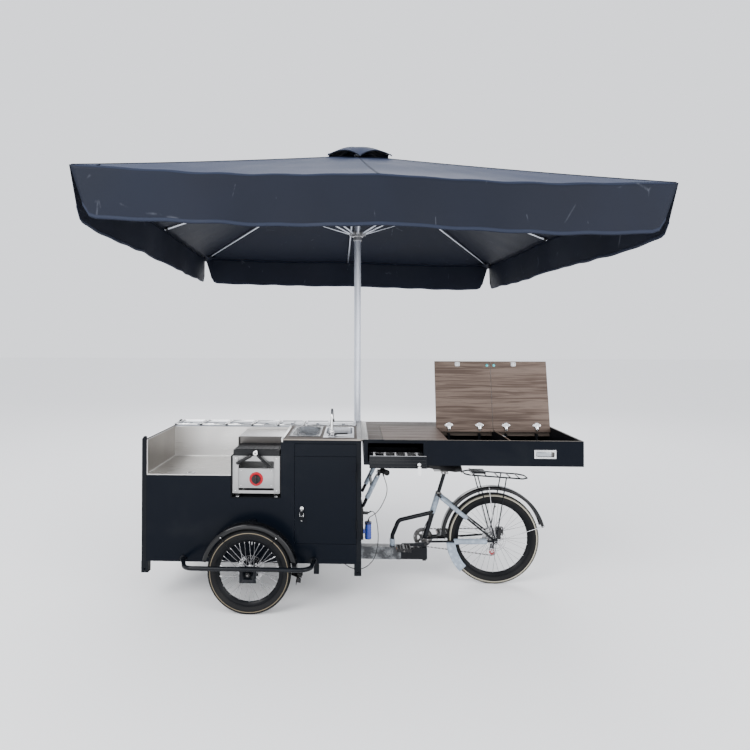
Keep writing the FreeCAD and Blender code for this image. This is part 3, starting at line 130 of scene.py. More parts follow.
class CartSizes(bpy.types.PropertyGroup):
    """Small sizes that set how crisp or soft the cart looks."""

    edge: length("Edge rounding", "Rounding on sheet and board edges", 0.0012)
    sag: length("Cloth sag", "How far the roof cloth hangs between two ribs", 0.016)
    ripple: length("Valance ripple", "How far the valance waves in and out", 0.01)
    seam: length("Seam width", "Width of the sewn seams on the parasol", 0.012)
    tread: length("Tread pitch", "Distance from one tread block to the next", 0.0105)
    wrap: length("Foam thickness", "Thickness of the foam wound round tubes", 0.0035)
    link: length("Chain pitch", "Distance between two chain rollers", 0.0127)


def colours():
    return bpy.context.scene.cart_colours


def sizes():
    return bpy.context.scene.cart_sizes


# ---------------------------------------------------------------- shader nodes
class Net:
    """Short ways to add nodes to one node tree."""

    def __init__(self, tree):
        self.tree = tree

    def add(self, kind, **fields):
        node = self.tree.nodes.new("ShaderNode" + kind)
        for key, value in fields.items():
            setattr(node, key, value)
        return node

    def feed(self, node, values):
        for key, value in values.items():
            socket = node.inputs[key]
            if isinstance(value, bpy.types.NodeSocket):
                self.tree.links.new(value, socket)
            elif socket.type == "RGBA":
                socket.default_value = (*value[:3], 1)
            else:
                socket.default_value = value
        return node

    def math(self, operation, a, b=0):
        node = self.feed(self.add("Math", operation=operation), {0: a, 1: b})
        return node.outputs[0]

    def blend(self, factor, a, b):
        node = self.feed(self.add("Mix", data_type="RGBA"), {0: factor, 6: a, 7: b})
        return node.outputs[2]

    def place(self, scale=(1, 1, 1)):
        """Places on the piece at rest, stretched."""
        spot = self.add("TexCoord").outputs["Object"]
        node = self.feed(self.add("Mapping"), {"Vector": spot, "Scale": scale})
        return node.outputs[0]

    def stretch(self, spot, factor):
        return self.feed(self.add("VectorMath", operation="SCALE"), {0: spot, "Scale": factor}).outputs[0]

    def noise(self, spot, scale, detail=3, twist=0):
        node = self.feed(self.add("TexNoise"), {"Vector": spot, "Scale": scale, "Detail": detail,
            "Distortion": twist})
        return node.outputs[0]

    def span(self, value, low, high, to_low=0, to_high=1):
        node = self.feed(self.add("MapRange", interpolation_type="SMOOTHSTEP"),
            {0: value, 1: low, 2: high, 3: to_low, 4: to_high})
        return node.outputs[0]


GROUP_KINDS = {"colour": "NodeSocketColor", "number": "NodeSocketFloat", "vector": "NodeSocketVector"}


def shader_group(name, inputs, outputs, wire):
    """A node group made once: wire(net, inputs) returns its outputs in order."""
    if name in bpy.data.node_groups:
        return bpy.data.node_groups[name]
    tree = bpy.data.node_groups.new(name, "ShaderNodeTree")
    for label, kind in inputs:
        tree.interface.new_socket(label, in_out="INPUT", socket_type=GROUP_KINDS[kind])
    for label, kind in outputs:
        tree.interface.new_socket(label, in_out="OUTPUT", socket_type=GROUP_KINDS[kind])
    net = Net(tree)
    source = tree.nodes.new("NodeGroupInput")
    target = tree.nodes.new("NodeGroupOutput")
    results = wire(net, {label: source.outputs[label] for label, _ in inputs})
    for (label, _), result in zip(outputs, results):
        tree.links.new(result, target.inputs[label])
    return tree


SURFACE_OUT = [("Color", "colour"), ("Roughness", "number"), ("Height", "number")]


def worn_paint():
    """Paint, plastic or rubber with a fine skin, dust in patches and rubbed edges."""

    def wire(net, given):
        spot = net.place()
        skin = net.noise(net.stretch(spot, given["Skin Scale"]), 1, 2)
        patch = net.span(net.noise(spot, 3.1, 6, 0.6), 0.48, 0.78)
        rubbed = net.math("MULTIPLY", net.span(net.add("NewGeometry").outputs["Pointiness"], 0.53, 0.62),
            net.span(net.noise(spot, 42, 4), 0.38, 0.62))
        dust = net.math("MULTIPLY", patch, given["Dust"])
        dusty = net.blend(dust, given["Paint"], given["Dust Color"])
        tinted = net.blend(net.math("MULTIPLY", rubbed, given["Rub"]), dusty, given["Rub Color"])
        rough = net.math("ADD", given["Roughness"], net.math("MULTIPLY", dust, 0.6))
        rough = net.math("ADD", rough, net.math("MULTIPLY", net.math("SUBTRACT", skin, 0.5), 0.1))
        return tinted, rough, skin

    inputs = [("Paint", "colour"), ("Dust Color", "colour"), ("Rub Color", "colour"),
        ("Roughness", "number"), ("Dust", "number"), ("Rub", "number"), ("Skin Scale", "number")]
    return shader_group("Worn paint", inputs, SURFACE_OUT, wire)


def brushed_grain():
    """Fine lines of brushed metal along one direction, with cloudy handling marks."""

    def wire(net, given):
        spot = net.add("TexCoord").outputs["Object"]
        lines = net.add("VectorMath", operation="MULTIPLY")
        net.feed(lines, {0: spot, 1: given["Lines"]})
        grain = net.noise(lines.outputs[0], 1, 4)
        cloud = net.span(net.noise(spot, 4, 5, 0.8), 0.35, 0.75)
        tone = net.math("ADD", net.math("MULTIPLY", grain, 0.35), net.math("MULTIPLY", cloud, 0.18))
        metal = net.blend(tone, given["Metal"], given["Shade"])
        rough = net.math("ADD", given["Roughness"], net.math("MULTIPLY", tone, 0.3))
        return metal, rough, grain

    inputs = [("Metal", "colour"), ("Shade", "colour"), ("Roughness", "number"), ("Lines", "vector")]
    return shader_group("Brushed grain", inputs, SURFACE_OUT, wire)


def wood_figure():
    """Straight wood figure along X: broad bands, wandering lines and short dark pores."""

    def wire(net, given):
        broad = net.noise(net.place((0.9, 9, 9)), 1, 3, 0.3)
        lines = net.noise(net.place((2.2, 52, 52)), 1, 6, 0.9)
        pores = net.span(net.noise(net.place((9, 420, 420)), 1, 3), 0.56, 0.7)
        figure = net.math("ADD", net.math("MULTIPLY", broad, 0.22), net.math("MULTIPLY", lines, 0.78))
        figure = net.span(figure, 0.4, 0.6)
        figure = net.math("MAXIMUM", figure, net.math("MULTIPLY", pores, 0.8))
        face = net.blend(figure, given["Light"], given["Dark"])
        rough = net.math("ADD", given["Roughness"], net.math("MULTIPLY", figure, 0.16))
        return face, rough, net.math("SUBTRACT", 1, figure)

    inputs = [("Light", "colour"), ("Dark", "colour"), ("Roughness", "number")]
    return shader_group("Wood figure", inputs, SURFACE_OUT, wire)


def woven_cloth():
    """Tight plain weave with chalky fold marks left from packing; faces that point upwards are painted
    lighter as painted light on the roof's top, with a little random fading.
    """

    def wire(net, given):
        spot = net.place()
        axes = net.add("SeparateXYZ")
        net.feed(axes, {0: net.stretch(spot, given["Threads"])})
        weave = net.math("MULTIPLY", net.math("SINE", axes.outputs[0]), net.math("SINE", axes.outputs[1]))
        web = net.add("TexVoronoi", feature="DISTANCE_TO_EDGE")
        net.feed(web, {"Vector": net.place((1, 1, 0.35)), "Scale": 3.4, "Randomness": 1})
        crease = net.span(web.outputs[0], 0, 0.01, 1, 0)
        broken = net.span(net.noise(spot, 9, 6, 1), 0.55, 0.7)
        mark = net.math("MULTIPLY", net.math("MULTIPLY", crease, broken), given["Chalk"])
        cloud = net.span(net.noise(spot, 1.3, 4, 0.5), 0.3, 0.75)
        facing = net.feed(net.add("SeparateXYZ"), {0: net.add("NewGeometry").outputs["Normal"]})
        # painted light: upward faces are lightened towards the top colour, standing in for light falling on
        # the roof
        painted_top_light = net.span(facing.outputs[2], 0.3, 0.9)
        top_light_and_fade = net.math("MAXIMUM", painted_top_light, net.math("MULTIPLY", cloud, 0.1))
        face = net.blend(top_light_and_fade, given["Thread"], given["Faded"])
        face = net.blend(mark, face, given["Mark"])
        rough = net.math("ADD", given["Roughness"], net.math("MULTIPLY", cloud, 0.1))
        height = net.math("ADD", net.math("MULTIPLY", weave, 0.08), net.math("MULTIPLY", crease, broken))
        return face, rough, height

    inputs = [("Thread", "colour"), ("Faded", "colour"), ("Mark", "colour"), ("Roughness", "number"),
        ("Threads", "number"), ("Chalk", "number")]
    return shader_group("Woven cloth", inputs, SURFACE_OUT, wire)


def crumpled_film():
    """Sharp little facets of crumpled film or foam: lighter and darker facets are painted highlight and
    painted shade of the crinkles, over the film's own tone, with a real bump as well.
    """

    def wire(net, given):
        spot = net.place()
        web = net.add("TexVoronoi", feature="F1")
        net.feed(web, {"Vector": spot, "Scale": given["Scale"], "Randomness": 1})
        facets = net.math("ADD", web.outputs[0], net.noise(spot, 60, 4, 1))
        tone = net.span(facets, 0.3, 1.2)
        face = net.blend(tone, given["Light"], given["Shade"])
        rough = net.math("ADD", given["Roughness"], net.math("MULTIPLY", tone, 0.15))
        return face, rough, facets

    inputs = [("Light", "colour"), ("Shade", "colour"), ("Roughness", "number"), ("Scale", "number")]
    return shader_group("Crumpled film", inputs, SURFACE_OUT, wire)


# ---------------------------------------------------------------- finishes
def surface(name, group, values, relief=0, relief_depth=0.0005, fixed=None):
    """A finish whose colour, roughness and relief come from one group; fixed values go on the shader."""
    material = bpy.data.materials.new("cart_" + name)
    material.use_nodes = True
    tree = material.node_tree
    tree.nodes.clear()
    net = Net(tree)
    shader = net.add("BsdfPrincipled")
    output = net.add("OutputMaterial")
    tree.links.new(shader.outputs[0], output.inputs[0])
    face = net.add("Group")
    face.node_tree = group
    net.feed(face, values)
    tree.links.new(face.outputs["Color"], shader.inputs["Base Color"])
    tree.links.new(face.outputs["Roughness"], shader.inputs["Roughness"])
    if relief:
        bump = net.feed(net.add("Bump"), {"Strength": relief, "Distance": relief_depth,
            "Height": face.outputs["Height"]})
        tree.links.new(bump.outputs[0], shader.inputs["Normal"])
    net.feed(shader, fixed or {})
    return material


def tone(value, light=None):
    """A colour: as given, by the name of one that a user can change, or a share of a lighter one."""
    if isinstance(value, str):
        return getattr(colours(), value)
    return tuple(v * value for v in light) if isinstance(value, float) else value


def painted(name, paint, roughness, dust, rub, skin, relief, fixed=None, dust_colour=(0.17, 0.16, 0.15)):
    values = {"Paint": tone(paint), "Dust Color": dust_colour, "Rub Color": (0.3, 0.3, 0.31),
        "Roughness": roughness, "Dust": dust, "Rub": rub, "Skin Scale": skin}
    return surface(name, worn_paint(), values, relief, fixed=fixed)


def metal(name, face, roughness, lines=(4, 900, 900), relief=0.04, shade=0.62):
    face = tone(face)
    values = {"Metal": face, "Shade": tone(shade, face), "Roughness": roughness, "Lines": lines}
    return surface(name, brushed_grain(), values, relief, 0.0002, {"Metallic": 1})


def wooden(name, light, dark, roughness, gloss):
    light = tone(light)
    values = {"Light": light, "Dark": tone(dark, light), "Roughness": roughness}
    return surface(name, wood_figure(), values, 0.25, 0.0004, {GLOSS: gloss})


def crumpled(name, light, shade, roughness, scale, relief, relief_depth, fixed=None):
    light = tone(light)
    values = {"Light": light, "Shade": tone(shade, light), "Roughness": roughness, "Scale": scale}
    return surface(name, crumpled_film(), values, relief, relief_depth, fixed)


def woven(name, thread, top_light_share):
    thread = tone(thread)
    values = {"Thread": thread, "Faded": tone(top_light_share, thread), "Mark": (0.06, 0.066, 0.085),
        "Roughness": 0.55, "Threads": 5200, "Chalk": 0.75}
    return surface(name, woven_cloth(), values, 0.35, 0.0015, {GLOSS: 0.14})


GLOSS = "Specular IOR Level"

# colour, roughness, dust, rubbed edges, skin scale, relief, fixed shader values, dust colour
PAINTS = {
    "panel_gloss": ("panel", 0.22, 0.02, 0, 240, 0.02, {GLOSS: 0.07}),
    "frame_gloss": ("frame", 0.24, 0.03, 0, 300, 0.03, {GLOSS: 0.16}),
    "frame_satin": ("frame", 0.42, 0.03, 0, 900, 0.08, {GLOSS: 0.1}),
    # black plastic; the same black is put on the tray's bay walls as painted shade
    "bin_black": ((0.004, 0.0045, 0.006), 0.55, 0.04, 0, 700, 0.12, {GLOSS: 0.08}),
    "fender_gloss": ((0.004, 0.0042, 0.005), 0.12, 0.03, 0, 120, 0.015,
                     {"Coat Weight": 0.1, "Coat Roughness": 0.04, GLOSS: 0.22}),
    "hard_plastic": ((0.009, 0.009, 0.01), 0.34, 0.05, 0, 1400, 0.1, {GLOSS: 0.25}),
    "soft_plastic": ((0.014, 0.014, 0.015), 0.62, 0.1, 0, 1800, 0.25, {GLOSS: 0.25}),
    "rubber": ((0.008, 0.0082, 0.009), 0.62, 0.12, 0, 700, 0.3, {GLOSS: 0.12}, (0.08, 0.075, 0.065)),
    "tyre_line": ("wall_line", 0.58, 0.3, 0, 500, 0.2, None, (0.3, 0.26, 0.2)),
    "front_tyre_line": ("front_line", 0.58, 0.2, 0, 500, 0.2, {GLOSS: 0.2}, (0.14, 0.12, 0.09)),
    "cast_black": ((0.008, 0.0085, 0.01), 0.44, 0.06, 0, 420, 0.6, {GLOSS: 0.15}),
    "red_enamel": ("red", 0.25, 0, 0, 100, 0.01, {GLOSS: 0.15}),
    "red_anodised": ((0.42, 0.01, 0.018), 0.22, 0.03, 0.1, 400, 0.03, {"Metallic": 0.7}),
    "white_plastic": ((0.72, 0.73, 0.74), 0.35, 0.08, 0, 500, 0.05),
    "blue_plastic": ("blue", 0.25, 0.08, 0.1, 500, 0.06, {"Coat Weight": 0.4}),
    "cyan_bead": ((0.03, 0.52, 0.58), 0.35, 0.02, 0, 300, 0.02, {"Coat Weight": 0.5}),
    "amber_lens": ((0.75, 0.2, 0.01), 0.15, 0.03, 0, 2600, 0.5, {"Coat Weight": 0.8}),
    "tank_skin": ((0.5, 0.56, 0.6), 0.4, 0.1, 0.1, 300, 0.08),
    "rim_black": ((0.0035, 0.004, 0.0052), 0.3, 0.03, 0, 500, 0.04, {GLOSS: 0.1}),
    "stitch": ((0.014, 0.019, 0.036), 0.7, 0.05, 0, 3000, 0.4, {GLOSS: 0.2}),
    "saddle_skin": ((0.009, 0.009, 0.01), 0.48, 0.06, 0, 900, 0.5, {GLOSS: 0.25}),
    "floor_paint": ((0.93, 0.93, 0.935), 0.85, 0, 0, 8, 0, {GLOSS: 0.1}),
}

# colour, roughness, grain lines per metre along X, Y and Z, relief, darkest shade as a share of the colour
METALS = {
    "sheet_steel": ("steel", 0.22),
    # a darker copy of the sheet steel for the tray's upright left wall, as painted shade
    "upright_steel": ((0.27, 0.25, 0.225), 0.26, (900, 900, 4)),
    "pan_steel": ((0.4, 0.42, 0.45), 0.22, (500, 5, 500)),
    "bowl_steel": ((0.4, 0.41, 0.43), 0.22, (6, 600, 600)),
    # a dark copy of the bowl steel for the deep basin, as painted shade inside it
    "deep_bowl_steel": ((0.11, 0.115, 0.12), 0.24, (6, 600, 600)),
    "shaded_steel": ((0.14, 0.132, 0.125), 0.34, (5, 700, 700)),
    "hinge_steel": ((0.3, 0.29, 0.28), 0.4, (700, 8, 700)),
    "silver_housing": ((0.36, 0.36, 0.36), 0.36, (5, 700, 700)),
    "bright_metal": ((0.82, 0.82, 0.82), 0.06, (90, 90, 90), 0.01, 0.85),
    "plated": ((0.66, 0.66, 0.67), 0.16, (300, 300, 300), 0.02, 0.75),
    "spoke_steel": ((0.3, 0.3, 0.31), 0.28, (200, 200, 200), 0.01, 0.8),
    "dark_steel": ((0.16, 0.155, 0.15), 0.32, (400, 400, 400), 0.04, 0.6),
    "alloy": ((0.5, 0.5, 0.51), 0.3, (700, 700, 8)),
    "pole_alloy": ((0.66, 0.69, 0.76), 0.34, (700, 700, 3), 0.03, 0.85),
}

# light figure, dark figure, roughness, gloss
WOODS = {
    "lid_wood": ("wood", "wood_dark", 0.5, 0.14),
    "counter_wood": ("board", 0.55, 0.52, 0.14),
    "edge_band": ((0.3, 0.27, 0.24), (0.2, 0.175, 0.15), 0.45, 0.2),
}

# lit facet (painted highlight), shaded facet (painted shade), roughness, facet scale, relief and its depth,
# fixed shader values
FILMS = {
    "foam": ("foam", 0.62, 0.5, 34, 0.8, 0.003),
    "clear_film": ((0.8, 0.82, 0.86), (0.4, 0.43, 0.48), 0.1, 3, 0.25, 0.004, {"IOR": 1.4, "Alpha": 0.16}),
    "grey_film": ((0.26, 0.275, 0.29), (0.02, 0.022, 0.026), 0.28, 15, 0.8, 0.004),
}

# thread, and how many times lighter the upward faces are painted, as painted light on the roof's top
CLOTHS = {"cloth": ("cloth", 5.0)}

READY = {}


def finish(name):
    """The finish of that name, made the first time it is asked for."""
    if name not in READY:
        for maker, rows in ((painted, PAINTS), (metal, METALS), (wooden, WOODS), (crumpled, FILMS),
                (woven, CLOTHS)):
            if name in rows:
                READY[name] = maker(name, *rows[name])
    return READY[name]


# ---------------------------------------------------------------- mesh parts
def aimed(start, end):
    """A matrix that puts +Z along the way from start to end, at start."""
    start, end = Vector(start), Vector(end)
    turn = Vector(UP).rotation_difference(end - start).to_matrix().to_4x4()
    return Matrix.Translation(start) @ turn


def block(low, high, round_by=0, steps=2):
    """A box between two corners, its edges rounded."""
    bm = bmesh.new()
    low, high = Vector(low), Vector(high)
    bmesh.ops.create_cube(bm, size=1)
    scale = Matrix.Diagonal((*(high - low), 1))
    bm.transform(Matrix.Translation((low + high) / 2) @ scale)
    if round_by:
        bmesh.ops.bevel(bm, geom=bm.edges[:], offset=round_by, segments=steps, profile=0.5, affect="EDGES")
    return bm


def rod(start, end, radius, sides=14, end_radius=None, bevel=0):
    """A round bar from start to end, its rims rounded if bevel is given."""
    bm = bmesh.new()
    span = (Vector(end) - Vector(start)).length
    bmesh.ops.create_cone(bm, cap_ends=True, segments=sides, radius1=radius,
        radius2=radius if end_radius is None else end_radius, depth=span)
    bm.transform(aimed(start, end) @ Matrix.Translation((0, 0, span / 2)))
    if bevel:
        rims = [e for e in bm.edges if any(len(f.verts) > 4 for f in e.link_faces)]
        bmesh.ops.bevel(bm, geom=rims, offset=bevel, segments=2, profile=0.5, affect="EDGES")
    return bm


def turned(profile, centre, axis, steps=48, shut=False):
    """A (radius, along) outline turned once about an axis; a shut one is joined end to start."""
    bm = bmesh.new()
    rows = []
    for i in range(steps):
        a = FULL_TURN * i / steps
        rows.append([bm.verts.new((r * math.cos(a), r * math.sin(a), h)) for r, h in profile])
    last = len(profile) if shut else len(profile) - 1
    for i in range(steps):
        near, far = rows[i], rows[(i + 1) % steps]
        for j in range(last):
            k = (j + 1) % len(profile)
            bm.faces.new((near[j], far[j], far[k], near[k]))
    bmesh.ops.remove_doubles(bm, verts=bm.verts[:], dist=1e-6)
    bmesh.ops.recalc_face_normals(bm, faces=bm.faces[:])
    centre = Vector(centre)
    bm.transform(aimed(centre, centre + Vector(axis)))
    return bm


def sweep(points, section, closed=False, up=UP):
    """An outline of (across, up) pairs carried along points."""
    bm = bmesh.new()
    points = [Vector(p) for p in points]
    count = len(points)
    rows = []
    for i, spot in enumerate(points):
        before = points[i - 1] if i or closed else points[0]
        after = points[(i + 1) % count] if i < count - 1 or closed else points[-1]
        along = (after - before).normalized()
        side = along.cross(Vector(up))
        if side.length < 0.05:
            side = along.cross(vec(0, 1, 0.01))
        side.normalize()
        rise = side.cross(along).normalized()
        rows.append([bm.verts.new(spot + side * x + rise * y) for x, y in section])
    sides = len(section)
    for i in range(count if closed else count - 1):
        near, far = rows[i], rows[(i + 1) % count]
        for j in range(sides):
            k = (j + 1) % sides
            bm.faces.new((near[j], near[k], far[k], far[j]))
    if not closed:
        bm.faces.new(rows[0][::-1])
        bm.faces.new(rows[-1])
    bmesh.ops.recalc_face_normals(bm, faces=bm.faces[:])
    return bm


def ring(radius, sides=12, flatten=1):
    return [(radius * math.cos(FULL_TURN * i / sides),
        flatten * radius * math.sin(FULL_TURN * i / sides)) for i in range(sides)]


def grid(rows, columns, place, closed=False):
    """A skin through place(u, v), with u and v from 0 to 1."""
    bm = bmesh.new()
    across = columns if closed else columns + 1
    verts = [[bm.verts.new(place(j / columns, i / rows)) for j in range(across)] for i in range(rows + 1)]
    for i in range(rows):
        for j in range(columns):
            k = (j + 1) % across
            bm.faces.new((verts[i][j], verts[i][k], verts[i + 1][k], verts[i + 1][j]))
    return bm


def slab(outline, offset, round_by=0):
    """A flat outline of 3-D points with a thickness."""
    bm = bmesh.new()
    base = [bm.verts.new(p) for p in outline]
    face = bm.faces.new(base)
    made = bmesh.ops.extrude_face_region(bm, geom=[face])["geom"]
    moved = [v for v in made if isinstance(v, bmesh.types.BMVert)]
    bmesh.ops.translate(bm, verts=moved, vec=Vector(offset))
    bmesh.ops.recalc_face_normals(bm, faces=bm.faces[:])
    if round_by:
        bmesh.ops.bevel(bm, geom=bm.edges[:], offset=round_by, segments=2, profile=0.5, affect="EDGES")
    return bm


def flowing(points, steps):
    """A smooth line through the points, for bent bars and covers."""
    p = [Vector(q) for q in points]
    p = [p[0] * 2 - p[1]] + p + [p[-1] * 2 - p[-2]]
    line = []
    for a, b, c, d in zip(p, p[1:], p[2:], p[3:]):
        for i in range(steps):
            t = i / steps
            line.append(0.5 * (2 * b + (c - a) * t + (2 * a - 5 * b + 4 * c - d) * t * t +
                (3 * b - a - 3 * c + d) * t ** 3))
    return line + [p[-2]]


def arc(centre, radius, start, end, steps, y):
    """Points on an arc about a Y axis, angles in degrees from +X upwards."""
    cx, cz = centre
    spots = []
    for i in range(steps + 1):
        a = math.radians(start + (end - start) * i / steps)
        spots.append(vec(cx + radius * math.cos(a), y, cz + radius * math.sin(a)))
    return spots


class Shape:
    """Mesh parts gathered into one piece, each with its own finish."""

    def __init__(self):
        self.bm = bmesh.new()
        self.finishes = []

    def add(self, part, finish_name, matrix=None):
        if finish_name not in self.finishes:
            self.finishes.append(finish_name)
        index = self.finishes.index(finish_name)
        for face in part.faces:
            face.material_index = index
        scratch = bpy.data.meshes.new("scratch")
        part.to_mesh(scratch)
        if matrix:
            scratch.transform(matrix)
        self.bm.from_mesh(scratch)
        bpy.data.meshes.remove(scratch)
        return self

    def copy(self, part, finish_name, matrices):
        for matrix in matrices:
            self.add(part, finish_name, matrix)
        return self

    def done(self, name, body, slot, stands_for=(), angle=38, thickness=0):
        mesh = bpy.data.meshes.new(name)
        self.bm.to_mesh(mesh)
        self.bm.free()
        for finish_name in self.finishes:
            mesh.materials.append(finish(finish_name))
        mesh.polygons.foreach_set("use_smooth", [True] * len(mesh.polygons))
        mesh.set_sharp_from_angle(angle=math.radians(angle))
        piece = bpy.data.objects.new(name, mesh)
        bpy.context.scene.collection.objects.link(piece)
        if thickness:
            skin = piece.modifiers.new("Thickness", "SOLIDIFY")
            skin.thickness = thickness
            skin.offset = 0
        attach(piece, body)
        if stands_for:
            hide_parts(*stands_for)
        return piece


def dress(node, finish_name, rounding=None, rules=()):
    """Gives a frame node its finish, and other finishes to the faces that a rule picks."""
    piece = NODES[node]
    mesh = piece.data
    mesh.materials.clear()
    mesh.materials.append(finish(finish_name))
    for index, (picked_finish, picks) in enumerate(rules, start=1):
        mesh.materials.append(finish(picked_finish))
        for face in mesh.polygons:
            if picks(face.center, face.normal):
                face.material_index = index
    rounding = sizes().edge if rounding is None else rounding
    if rounding:
        if "custom_normal" in mesh.attributes:
            mesh.attributes.remove(mesh.attributes["custom_normal"])
        if "sharp_edge" in mesh.attributes:
            mesh.attributes.remove(mesh.attributes["sharp_edge"])
        mesh.polygons.foreach_set("use_smooth", [True] * len(mesh.polygons))
        weld = piece.modifiers.new("Joined edges", "WELD")
        weld.merge_threshold = 0.00002
        edge = piece.modifiers.new("Rounded edges", "BEVEL")
        edge.width = rounding
        edge.segments = 2
        edge.limit_method = "ANGLE"
        edge.angle_limit = math.radians(40)
        edge.harden_normals = True
    return piece


def screw(at, axis, radius=0.004, head=0.0018):
    """A domed screw head standing on a face."""
    outline = [(0, head), (radius * 0.6, head * 0.92), (radius, head * 0.35), (radius, -0.0004),
        (0, -0.0004)]
    return turned(outline, at, axis, 16)


def screws(part, spots, axis, *size):
    for spot in spots:
        part.add(screw(spot, axis, *size), "plated")


def hex_nut(at, axis, radius, height):
    return turned([(0, height), (radius * 0.8, height), (radius, height * 0.8), (radius, 0), (0, 0)], at,
        axis, 6)


# ---------------------------------------------------------------- stage
EYE = vec(-0.0293, -4.0185, 1.6498)
EYE_YAW, EYE_PITCH, EYE_ROLL = 1.95, 0.47, 0.1         # degrees
LENS_MM, SENSOR_MM = 25.38, 36
SHIFT = (0.0525, -0.0542)


class CART_OT_stage(bpy.types.Operator):
    """Sets the floor, the soft studio light and the camera"""

    bl_idname = "cart.stage"
    bl_label = "Stage"

    def execute(self, context):
        scene = context.scene
        floor_mesh = bpy.data.meshes.new("floor")
        half = 40
        floor_mesh.from_pydata([(-half, -half, 0), (half, -half, 0), (half, half, 0), (-half, half, 0)],
            [], [(0, 1, 2, 3)])
        floor_mesh.materials.append(finish("floor_paint"))
        floor = bpy.data.objects.new("floor", floor_mesh)
        scene.collection.objects.link(floor)

        world = bpy.data.worlds.new("studio")
        world.use_nodes = True
        world.node_tree.nodes["Background"].inputs[0].default_value = (0.93, 0.95, 1, 1)
        world.node_tree.nodes["Background"].inputs[1].default_value = 1.55
        scene.world = world

        for name, spot, aim, size, power in (
            ("key_light", (-4.5, -5.5, 5.6), (0, -0.4, 1.2), 4, 520),
            ("fill_light", (5, -5, 3.2), (0.2, -0.4, 0.9), 4, 240),
            ("back_light", (0.5, 6.5, 5.2), (0, 0, 1.6), 5, 260),
            ("low_light", (-0.6, -5.2, 0.9), (-0.3, -0.5, 0.8), 3, 60),
        ):
            light = bpy.data.lights.new(name, "AREA")
            light.size = size
            light.energy = power
            lamp = bpy.data.objects.new(name, light)
            lamp.matrix_world = aimed(spot, aim) @ Matrix.Rotation(math.pi, 4, "X")
            scene.collection.objects.link(lamp)

        lens = bpy.data.cameras.new("camera")
        lens.lens = LENS_MM
        lens.sensor_width = SENSOR_MM
        lens.shift_x, lens.shift_y = SHIFT
        camera = bpy.data.objects.new("camera", lens)
        level = Matrix.Rotation(math.radians(90 + EYE_PITCH), 4, "X")
        turn = Matrix.Rotation(math.radians(EYE_YAW), 4, "Z")
        roll = Matrix.Rotation(math.radians(EYE_ROLL), 4, "Z")
        camera.matrix_world = Matrix.Translation(EYE) @ turn @ level @ roll
        scene.collection.objects.link(camera)
        scene.camera = camera
        return {"FINISHED"}


# ---------------------------------------------------------------- parasol
ROOF_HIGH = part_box("parasol_canopy")[1]
VENT_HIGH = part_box("parasol_vent")[1]
POLE_LOW, POLE_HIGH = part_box("parasol_pole")
POLE_R = (POLE_HIGH.x - POLE_LOW.x) / 2
ROOF_TURN = math.radians(3.5)                          # the parasol is turned a little about its pole
ROOF_HALF = ROOF_HIGH.x / (math.cos(ROOF_TURN) + math.sin(ROOF_TURN))
APEX = 2.982                                           # where the roof lines meet
EAVE = 2.442
EAVE_LEAN = 0.02
VALANCE = 0.25
CORNER_ROUND = 0.065                                   # the flaps' lower corners are cut round
CROWN_SHARE = 0.034                                    # open crown under the vent
CROWN_LIFT = 0.058  # the cloth stands this far above the ribs at the crown


def parasol_spot(x, y, z):
    """A place in the parasol's own square, turned with it."""
    c, s = math.cos(ROOF_TURN), math.sin(ROOF_TURN)
    return vec(x * c - y * s, x * s + y * c, z)


def eave_height(x):
    return EAVE - EAVE_LEAN * x


def square_edge(u):
    """A place on the square's edge, u going once round from the middle of the +X side, and its share
    of the way from there to the corner."""
    side = u * 4
    index = int(math.floor(side + 0.5)) % 4
    along = side - math.floor(side + 0.5)              # -0.5..0.5 on one side
    x, y = ROOF_HALF, along * 2 * ROOF_HALF
    for _ in range(index):
        x, y = -y, x
    return x, y, abs(along) * 2


def roof_place(u, v):
    """The roof cloth: taut on eight ribs, hanging a little between them, with soft drag lines."""
    x, y, across = square_edge(u)
    share = CROWN_SHARE + (1 - CROWN_SHARE) * v
    between = math.sin(math.pi * across)               # 0 on every rib
    sag = sizes().sag * between ** 1.3 * (0.35 + 0.65 * v) * (v ** 0.6)
    drag = 0.003 * math.sin(34 * across + 9 * v) * between * v * v
    soft = 0.003 * noise.noise(vec(x * 2.1, y * 2.1, v * 3)) * between
    pulled = 1 - 0.01 * between * v                 # the eave line bows inwards between ribs
    z = APEX + (eave_height(x) - APEX) * share + 0.003 + CROWN_LIFT * (1 - share) ** 1.5
    return parasol_spot(x * share * pulled, y * share * pulled, z - sag + drag + soft)


def valance_place(side, u, v):
    """One hanging flap sewn to the roof's edge: u along it, v down; it waves and its ends curl."""
    share = (u - 0.5) * (0.998 - 0.04 * v)
    sewn = roof_place(((side + share) / 4) % 1, 1)
    along = share * 2 * ROOF_HALF
    near_end = max(0, abs(u - 0.5) * 40 - 19)     # 0 to 1 over the last 75 mm
    wave = 0.8 * sizes().ripple * (math.sin(7.3 * along + 1.7 * side) + 0.6 * math.sin(13.1 * along + side))
    fade = math.sin(math.pi * u) ** 0.35
    out = -(wave * fade + 0.004) * v - 0.003 * near_end ** 2 * v
    rounded = CORNER_ROUND * (1 - math.sqrt(max(0, 1 - near_end ** 2)))
    hang = VALANCE + 0.004 * math.sin(5.1 * along + side) - rounded
    turn = Matrix.Rotation(side * math.pi / 2 + ROOF_TURN, 3, "Z")
    return sewn + turn @ vec(out, 0, -hang * v)


def seam_band(place_on, width, steps):
    """A flat sewn band that lies on a cloth line: place_on(t) gives its middle and its across direction."""
    def place(u, v):
        spot, across = place_on(u)
        return spot + across * (width * (v - 0.5))
    return grid(2, steps, place)


CAP_DROP, CAP_ARCH = 0.142, 0.046  # fall of the vent cap to its ribs, rise of its arches
SEAM_STEP = 0.0006                                      # how far apart a seam's across direction is read
HUB_HEIGHT = 2.444                                      # height of the ribs' pivots on the hub


